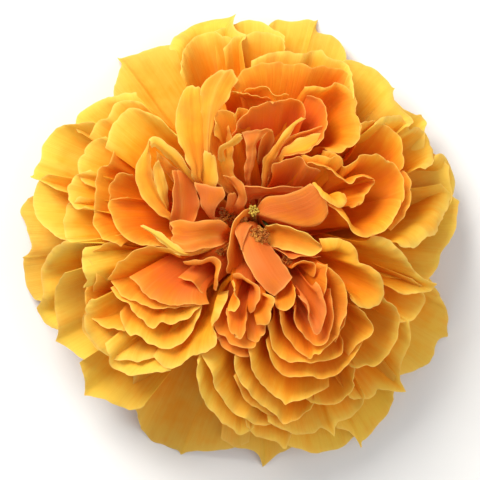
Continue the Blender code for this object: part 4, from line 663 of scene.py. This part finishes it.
class Nodes:
    """Short names for building a material's node tree."""

    def __init__(self, name):
        self.material = bpy.data.materials.new(name)
        self.material.use_nodes = True
        self.tree = self.material.node_tree
        self.tree.nodes.clear()

    def new(self, kind, **settings):
        node = self.tree.nodes.new("ShaderNode" + kind)
        for key, value in settings.items():
            setattr(node, key, value)
        return node

    def link(self, source, target):
        self.tree.links.new(source, target)

    def feed(self, target, value):
        if hasattr(value, "links"):
            self.link(value, target)
        else:
            target.default_value = value

    def math(self, operation, a, b=0.0, clamp=False):
        node = self.new("Math", operation=operation, use_clamp=clamp)
        self.feed(node.inputs[0], a)
        self.feed(node.inputs[1], b)
        return node.outputs[0]

    def noise(self, vector, scale, detail=2.0, rough=0.5, distortion=0.0):
        node = self.new("TexNoise")
        self.link(vector, node.inputs["Vector"])
        node.inputs["Scale"].default_value = scale
        node.inputs["Detail"].default_value = detail
        node.inputs["Roughness"].default_value = rough
        node.inputs["Distortion"].default_value = distortion
        return node.outputs["Fac"]

    def spread(self, value, low, high, to_low=0.0, to_high=1.0):
        node = self.new("MapRange")
        self.link(value, node.inputs["Value"])
        for socket, number in zip(("From Min", "From Max", "To Min", "To Max"), (low, high, to_low, to_high)):
            node.inputs[socket].default_value = number
        return node.outputs["Result"]

    def ramp(self, value, stops):
        node = self.new("ValToRGB")
        elements = node.color_ramp.elements
        while len(elements) < len(stops):
            elements.new(0.5)
        for element, (place, colour) in zip(elements, stops):
            element.position = place
            element.color = (*colour, 1)
        self.link(value, node.inputs["Fac"])
        return node.outputs["Color"]

    def blend(self, share, a, b, mode="MIX"):
        node = self.new("Mix", data_type="RGBA", blend_type=mode)
        self.feed(node.inputs[0], share)
        self.feed(node.inputs[6], a if hasattr(a, "links") else (*a, 1))
        self.feed(node.inputs[7], b if hasattr(b, "links") else (*b, 1))
        return node.outputs[2]

    def scaled(self, vector, x, y, z):
        node = self.new("VectorMath", operation="MULTIPLY")
        self.link(vector, node.inputs[0])
        node.inputs[1].default_value = (x, y, z)
        return node.outputs[0]

    def bump(self, height, strength, distance):
        node = self.new("Bump")
        self.link(height, node.inputs["Height"])
        node.inputs["Strength"].default_value = strength
        node.inputs["Distance"].default_value = distance
        return node.outputs["Normal"]

    def finish(self, colour, rough, normal=None, specular=0.3, sheen=0.0, clear=None, share=0.0):
        """A Principled surface, mixed by share with light that comes through from behind."""
        surface = self.new("BsdfPrincipled")
        self.feed(surface.inputs["Base Color"], colour)
        self.feed(surface.inputs["Roughness"], rough)
        surface.inputs["Specular IOR Level"].default_value = specular
        surface.inputs["Sheen Weight"].default_value = sheen
        surface.inputs["Sheen Roughness"].default_value = 0.4
        output = self.new("OutputMaterial")
        if normal is not None:
            self.link(normal, surface.inputs["Normal"])
        if share == 0:
            self.link(surface.outputs[0], output.inputs[0])
            return self.material
        behind = self.new("BsdfTranslucent")
        self.feed(behind.inputs["Color"], clear)
        mixed = self.new("MixShader")
        mixed.inputs[0].default_value = share
        self.link(surface.outputs[0], mixed.inputs[1])
        self.link(behind.outputs[0], mixed.inputs[2])
        self.link(mixed.outputs[0], output.inputs[0])
        return self.material


def petal_material():
    """Golden yellow outside to apricot and salmon within, with painted shade deep red-orange in the folds and
    recesses, and a cream margin whose very edge carries a painted highlight.
    """
    n = Nodes("petal")
    # finish carries the tone, the pale margin with its painted highlight, and the painted shade
    finish = n.new("Attribute", attribute_name="finish").outputs["Vector"]
    place = n.new("Attribute", attribute_name="veins").outputs["Vector"]
    split = n.new("SeparateXYZ")
    n.link(finish, split.inputs[0])
    warm, pale, depth = split.outputs
    body = n.new("TexCoord").outputs["Object"]

    blotch = n.noise(body, 140, 3)
    mottle = n.noise(n.scaled(place, 0.55, 0.4, 1.0), 1.0, 3.0, 0.6, 0.8)
    drift = n.math("ADD", n.spread(blotch, 0.3, 0.7, -0.15, 0.15), n.spread(mottle, 0.3, 0.7, -0.08, 0.08))
    tint = n.math("ADD", warm, drift, clamp=True)
    colour = n.ramp(tint, ((0.0, srgb(249, 215, 78)), (0.3, srgb(250, 190, 42)), (0.55, srgb(246, 156, 18)),
                           (0.8, srgb(240, 134, 22)), (1.0, srgb(232, 124, 48))))
    light = n.ramp(tint, ((0.0, srgb(255, 231, 134)), (0.4, srgb(255, 214, 104)), (1.0, srgb(253, 188, 100))))
    # painted shade: deep red-orange where the depth value is high, in recesses and on shaded inner faces
    colour = n.blend(n.math("MULTIPLY", depth, 0.74), colour, srgb(232, 84, 2))

    coarse = n.noise(n.scaled(place, 1.5, 0.14, 1.0), 1.0, 2.0, 0.55, 0.4)
    veins = n.noise(n.scaled(place, 3.4, 0.25, 1.0), 1.0, 2.0, 0.6, 0.5)
    streak = n.math("ADD", n.math("MULTIPLY", coarse, 0.55), n.math("MULTIPLY", veins, 0.45))
    dark = n.blend(1.0, colour, srgb(244, 214, 170), "MULTIPLY")
    colour = n.blend(n.spread(streak, 0.48, 0.62, 0.0, 0.17), colour, dark)
    colour = n.blend(n.spread(streak, 0.46, 0.34, 0.0, 0.10), colour, light)
    # paler margin in its own colour, and a painted cream highlight along the very edge
    rim = n.math("MULTIPLY", pale, n.spread(blotch, 0.3, 0.7, 0.6, 1.0), clamp=True)
    colour = n.blend(rim, colour, light)
    colour = n.blend(n.spread(pale, 0.5, 0.8, 0.0, 0.3), colour, srgb(255, 226, 128))

    crinkle = n.noise(n.scaled(place, 0.9, 0.9, 1.0), 1.0, 3.0, 0.6)
    height = n.math("ADD", n.math("MULTIPLY", streak, 1.0), n.math("MULTIPLY", crinkle, 0.4))
    normal = n.bump(height, 0.4, 0.0005)
    rough = n.spread(veins, 0.3, 0.7, 0.42, 0.58)
    return n.finish(colour, rough, normal, specular=0.1, clear=n.blend(0.3, colour, light), share=0.45)


def plain_material(name, stops, scale=300, rough=0.6, bump=0.4, depth=0.0003, specular=0.3):
    """A mottled surface whose colour wanders over the stops."""
    n = Nodes(name)
    body = n.new("TexCoord").outputs["Object"]
    broad = n.noise(body, scale * 0.3, 3)
    small = n.noise(body, scale * 3, 3)
    colour = n.ramp(n.math("ADD", n.math("MULTIPLY", broad, 0.7), n.math("MULTIPLY", small, 0.3)), stops)
    return n.finish(colour, n.spread(small, 0.3, 0.7, rough - 0.08, rough + 0.08), n.bump(small, bump, depth),
                    specular=specular)


def stem_material():
    """Green skin with fine lengthwise fibres, reddened in patches."""
    n = Nodes("stem_skin")
    body = n.new("TexCoord").outputs["Object"]
    patch = n.noise(body, 120, 3)
    fibre = n.noise(n.scaled(body, 1.0, 1.0, 0.12), 2600, 2)
    colour = n.ramp(patch, ((0.3, srgb(92, 122, 52)), (0.55, srgb(120, 140, 66)), (0.75, srgb(140, 96, 60))))
    colour = n.blend(n.spread(fibre, 0.35, 0.7, 0.0, 0.5), colour, srgb(70, 98, 38))
    return n.finish(colour, n.spread(patch, 0.3, 0.7, 0.42, 0.58), n.bump(fibre, 0.35, 0.0002), specular=0.4)


def leaf_material():
    """Green skin of hip and sepals: mottled, paler in spots, with fine glands and a touch of red."""
    n = Nodes("sepal_skin")
    body = n.new("TexCoord").outputs["Object"]
    patch = n.noise(body, 160, 3)
    fine = n.noise(body, 1500, 3)
    colour = n.ramp(patch, ((0.3, srgb(74, 104, 40)), (0.5, srgb(98, 128, 54)), (0.7, srgb(132, 148, 74))))
    colour = n.blend(n.spread(fine, 0.45, 0.65, 0.0, 0.35), colour, srgb(150, 116, 62))
    return n.finish(colour, n.spread(fine, 0.3, 0.7, 0.5, 0.66), n.bump(fine, 0.5, 0.0003), specular=0.35)


# ------------------------------------------------------------------ pieces
SHARP_ANGLE = 55                       # degrees, keeps the cut edge of a petal crisp


def make_piece(name, V, F, materials, nodes=(), attributes=(), index=()):
    """One mesh object from millimetre vertices, riding on the body and standing for its nodes."""
    mesh = bpy.data.meshes.new(name)
    faces = F.tolist() if hasattr(F, "tolist") else F
    mesh.from_pydata((np.asarray(V) * MM + EYE).tolist(), [], faces)
    mesh.polygons.foreach_set("use_smooth", [True] * len(mesh.polygons))
    if len(index):
        mesh.polygons.foreach_set("material_index", index)
    mesh.set_sharp_from_angle(angle=math.radians(SHARP_ANGLE))
    for key, values in attributes:
        layer = mesh.attributes.new(key, "FLOAT_VECTOR", "POINT")
        layer.data.foreach_set("vector", np.asarray(values, np.float32).ravel())
    for material in materials:
        mesh.materials.append(material)
    piece = bpy.data.objects.new(name, mesh)
    bpy.context.scene.collection.objects.link(piece)
    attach(piece, "root")
    if nodes:
        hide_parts(*nodes)


def joined(parts):
    """Several (vertices, faces, values, values) meshes as one."""
    V, F, A, B, start = [], [], [], [], 0
    for v, f, a, b in parts:
        V.append(v)
        F.append(f + start)
        A.append(a)
        B.append(b)
        start += len(v)
    return np.concatenate(V), np.concatenate(F), np.concatenate(A), np.concatenate(B)


# ------------------------------------------------------------------ stamens, styles, hip, sepals and stem
def tube(path, radii, sides=6):
    """A closed tube along a path: vertices and faces."""
    P = np.array(path, float)
    T = unit(np.gradient(P, axis=0))
    turn = np.linspace(0, 2 * math.pi, sides, endpoint=False)
    side = unit(np.cross(T[0], (0.31, 0.9, 0.2)))
    V = []
    for point, ahead, radius in zip(P, T, radii):
        side = unit(side - ahead * (side @ ahead))
        other = np.cross(ahead, side)
        V.append(point + radius * (np.cos(turn)[:, None] * side + np.sin(turn)[:, None] * other))
    F = []
    for i in range(len(P) - 1):
        for k in range(sides):
            n = (k + 1) % sides
            F.append((i * sides + k, i * sides + n, (i + 1) * sides + n, (i + 1) * sides + k))
    F.append(tuple(range(sides - 1, -1, -1)))
    F.append(tuple((len(P) - 1) * sides + k for k in range(sides)))
    return np.concatenate(V), F


def lump(centre, sizes, ahead, rings=6, sides=8):
    """A closed egg shape, its long axis along ahead."""
    centre, ahead = np.array(centre, float), unit(np.array(ahead, float))
    angles = np.linspace(0.12, math.pi - 0.12, rings)
    return tube([centre - ahead * sizes[1] * math.cos(a) for a in angles], sizes[0] * np.sin(angles), sides)


def gathered(parts):
    """Several meshes as one, with each face's material number."""
    V, F, index, start = [], [], [], 0
    for v, f, number in parts:
        V.append(v)
        F += [tuple(i + start for i in face) for face in f]
        index += [number] * len(f)
        start += len(v)
    return np.concatenate(V), F, index


def stalks(rng, clusters, foot, thick, head):
    """Filaments that rise from the receptacle into clusters, each with its head."""
    parts = []
    for x, y, z, spread, count in clusters:
        for k in range(count):
            angle, reach = k * 2.4, spread * math.sqrt((k + 0.5) / count)
            top = np.array([x + reach * math.cos(angle), y + reach * math.sin(angle),
                            z + rng.uniform(-0.9, 0.7)])
            bearing = math.atan2(y, x) + rng.uniform(-1.4, 1.4)
            start = np.array([foot * math.cos(bearing), foot * math.sin(bearing), BASE_Z - 0.3])
            middle = start * 0.45 + top * 0.55 + (rng.uniform(-0.5, 0.5), rng.uniform(-0.5, 0.5), 1.5)
            u = np.linspace(0, 1, 9)[:, None]
            path = (1 - u) ** 2 * start + 2 * u * (1 - u) * middle + u**2 * top
            parts.append((*tube(path, np.linspace(thick, thick * 0.6, 9)), 0))
            parts += head(rng, top, path[-1] - path[-2])
    return parts


def anther(rng, top, ahead):
    """Two pollen sacs side by side, lying across the filament."""
    angle = rng.uniform(0, math.pi)
    along = np.array([math.cos(angle), math.sin(angle), rng.uniform(-0.3, 0.3)])
    across = unit(np.cross(along, ahead)) * 0.21
    size = rng.uniform(0.85, 1.15)
    return [(*lump(top + across * sign, (0.24 * size, 0.52 * size), along), 1) for sign in (-1, 1)]


def stigma(rng, top, ahead):
    return [(*lump(top, (0.36, 0.26), ahead), 1)]


def turned(profile, sides, ribs=0, depth=0.0):
    """A body of revolution from (radius, height) points, with ribs up its side."""
    V, F = [], []
    for radius, z in profile:
        for k in range(sides):
            t = 2 * math.pi * k / sides
            r = radius * (1 + depth * math.cos(ribs * t))
            V.append((r * math.cos(t), r * math.sin(t), z))
    for i in range(len(profile) - 1):
        for k in range(sides):
            n = (k + 1) % sides
            F.append((i * sides + k, i * sides + n, (i + 1) * sides + n, (i + 1) * sides + k))
    F.append(tuple(range(sides - 1, -1, -1)))
    F.append(tuple((len(profile) - 1) * sides + k for k in range(sides)))
    return np.array(V), F


def sepal(number):
    """A pointed green leaf with side lobes and a fine tip, hanging from the rim of the hip."""
    rng = np.random.default_rng(90 + number)
    bearing = math.radians(SEPAL_BEARING + 360 * (number - 1) / SEPAL_COUNT)
    ahead = np.array([math.cos(bearing), math.sin(bearing), 0.0])
    across = np.array([-math.sin(bearing), math.cos(bearing), 0.0])
    u = np.linspace(0, 1, 41)[:, None]
    t = np.linspace(-1, 1, 13)[None]
    reach = HIP_RIM_RADIUS - 0.1 + (SEPAL_LENGTH + 1.0) * (u - 0.06 * u * u)
    height = HIP_TOP - 0.65 + 1.2 * np.sin(math.pi * u * 0.6) - SEPAL_DROP * u * u
    shoulder = 0.55 + 0.45 * np.sin(math.pi / 2 * np.minimum(u / 0.55, 1))
    half = SEPAL_WIDTH / 2 * shoulder * (1 - u**2.2) ** 1.15 + 0.16
    lobes = sum(np.exp(-((u - where) / 0.022) ** 2) for where in (0.46, 0.60, 0.73)) if number % 2 else 0.0
    half = half + lobes * (1.5 + 0.3 * np.sign(t)) * (np.abs(t) > 0.9)
    half = half * (1 + 0.05 * np.sin(23 * u + rng.uniform(0, 6)))
    arch = height - 0.9 * t * t + 0.5 * np.exp(-(t / 0.12) ** 2) * (1 - u) + 0.3 * np.sin(9 * u + number) * t
    G = (ahead * reach[..., None] + across * (half * t)[..., None]
         + np.array([0, 0, 1.0]) * arch[..., None])
    q = np.broadcast_to(u, G.shape[:2])
    return sheet(G, np.interp(q, [0, 0.5, 1], (0.5, 0.28, 0.2)))


def make_organs():
    rng = np.random.default_rng(5)
    filament = plain_material("filament", ((0.3, srgb(206, 122, 40)), (0.6, srgb(236, 172, 72))), 500, 0.5)
    pollen = plain_material("pollen_sac", ((0.3, srgb(112, 50, 14)), (0.5, srgb(166, 92, 26)),
                                           (0.7, srgb(214, 156, 58))), 900, 0.75, 0.8, 0.0003)
    V, F, index = gathered(stalks(rng, STAMEN_CLUSTERS, 2.2, 0.15, anther))
    make_piece("stamen_crown", V, F, [filament, pollen], ["stamens"], index=index)
    stylar = plain_material("style", ((0.3, srgb(170, 120, 44)), (0.7, srgb(206, 160, 66))), 500, 0.5)
    tip = plain_material("stigma", ((0.3, srgb(150, 118, 30)), (0.6, srgb(214, 180, 70))), 900, bump=0.8)
    V, F, index = gathered(stalks(rng, STYLE_CLUSTERS, 0.8, 0.17, stigma))
    make_piece("style_bundle", V, F, [stylar, tip], ["styles"], index=index)

    green = leaf_material()
    profile = curve([(radius, 0, z) for radius, z in HIP_PROFILE], 40)
    V, F = turned([(r, z) for r, _, z in profile], 60, SEPAL_COUNT, 0.02)
    make_piece("hip_body", V, F, [green], ["hip"])
    for number in range(1, SEPAL_COUNT + 1):
        V, F = sepal(number)
        make_piece("sepal_%d_leaf" % number, V, F, [green], ["sepal_%d" % number])

    # the stem: a short stub, cut straight, with its pith and a few prickles
    bark, pith = stem_material(), plain_material("stem_pith", ((0.3, srgb(196, 204, 150)),
                                                                (0.7, srgb(226, 228, 190))), 900, 0.8, 0.6)
    z = np.linspace(0.0, STEM_TOP + 0.4, STEM_RINGS)
    radii = STEM_RADIUS * (1 + 0.02 * np.sin(z * 1.9)) * np.interp(z, [0, 0.25, 1], [0.94, 1.0, 1.0])
    V, F = turned(list(zip(radii, z)), STEM_SIDES, 5, 0.015)
    parts = [(V, F, 0)]
    for bearing, height in PRICKLES:
        way = np.array([math.cos(math.radians(bearing)), math.sin(math.radians(bearing)), 0.0])
        foot = way * (STEM_RADIUS - 0.3) + (0, 0, height)
        path = [foot] + [foot + way * out - (0, 0, drop) for out, drop in PRICKLE_BEND]
        parts.append((*tube(path, (0.75, 0.42, 0.2, 0.05), 10), 0))
    V, F, index = gathered(parts)
    index = [1 if len(face) == STEM_SIDES else i for face, i in zip(F, index)]   # pith on the cut ends
    make_piece("stem_stub", V, F, [bark, pith], ["stem"], index=index)


PETAL_SLOTS = {"guard": "outer_petals", "outer": "outer_petals", "heart": "heart_petals",
               **dict.fromkeys(("top", "right", "low", "mid", "left", "ring"), "inner_petals")}
petal_look = petal_material()
extra = {}
for name, surface, shape, options in petals:
    body = petal_solid(surface(name, *shape, **options))
    kind = name.split("_")[0]
    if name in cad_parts:
        make_piece(name + "_blade", body[0], body[1], [petal_look], [name],
                   [("finish", body[2]), ("veins", body[3])])
    else:
        extra.setdefault(kind, []).append(body)
for kind, parts in extra.items():
    V, F, A, B = joined(parts)
    make_piece(kind + "_small_petals", V, F, [petal_look],
               attributes=[("finish", A), ("veins", B)])


make_organs()


# ------------------------------------------------------------------ floor, lights, camera
FLOOR_HALF = 1.5                       # metres, half its side
VIEW_WIDTH = 0.120                     # metres, width seen at the middle of the bloom
BLOOM_MIDDLE = 0.025
VIEW_SHIFT = (-0.00425, -0.0020)       # the camera stands over the middle of the bloom, not over its eye
WORLD_COLOUR, WORLD_STRENGTH = (0.93, 0.96, 1.0, 1), 0.52


def make_floor():
    mesh = bpy.data.meshes.new("floor")
    corners = [(x * FLOOR_HALF, y * FLOOR_HALF, 0) for x, y in ((-1, -1), (1, -1), (1, 1), (-1, 1))]
    mesh.from_pydata(corners, [], [(0, 1, 2, 3)])
    pale = ((0.35, srgb(226, 225, 222)), (0.65, srgb(231, 230, 227)))
    mesh.materials.append(plain_material("floor", pale, 20, 0.8, 0.05))
    floor = bpy.data.objects.new("floor", mesh)
    bpy.context.scene.collection.objects.link(floor)


def make_light(name, place, size, power, colour):
    light = bpy.data.lights.new(name, "AREA")
    light.size, light.energy, light.color = size, power, colour
    lamp = bpy.data.objects.new(name, light)
    lamp.location = place
    lamp.rotation_euler = (Vector((0, 0, 0.03)) - Vector(place)).to_track_quat("-Z", "Y").to_euler()
    bpy.context.scene.collection.objects.link(lamp)


make_floor()
make_light("key", (-0.27, 0.43, 0.52), 0.40, 7.0, (1.0, 0.97, 0.92))
make_light("fill", (0.45, -0.15, 0.55), 0.7, 2.0, (1.0, 0.99, 0.97))
world = bpy.data.worlds.new("studio")
world.use_nodes = True
world.node_tree.nodes["Background"].inputs["Color"].default_value = WORLD_COLOUR
world.node_tree.nodes["Background"].inputs["Strength"].default_value = WORLD_STRENGTH
bpy.context.scene.world = world

camera = bpy.data.cameras.new("camera")
camera.lens, camera.sensor_width = 250, 36
distance = VIEW_WIDTH * camera.lens / camera.sensor_width
eye = bpy.data.objects.new("camera", camera)
eye.location = (EYE[0] + VIEW_SHIFT[0], EYE[1] + VIEW_SHIFT[1], BLOOM_MIDDLE + distance)
bpy.context.scene.collection.objects.link(eye)
bpy.context.scene.camera = eye
bpy.context.scene.view_settings.view_transform = "Standard"
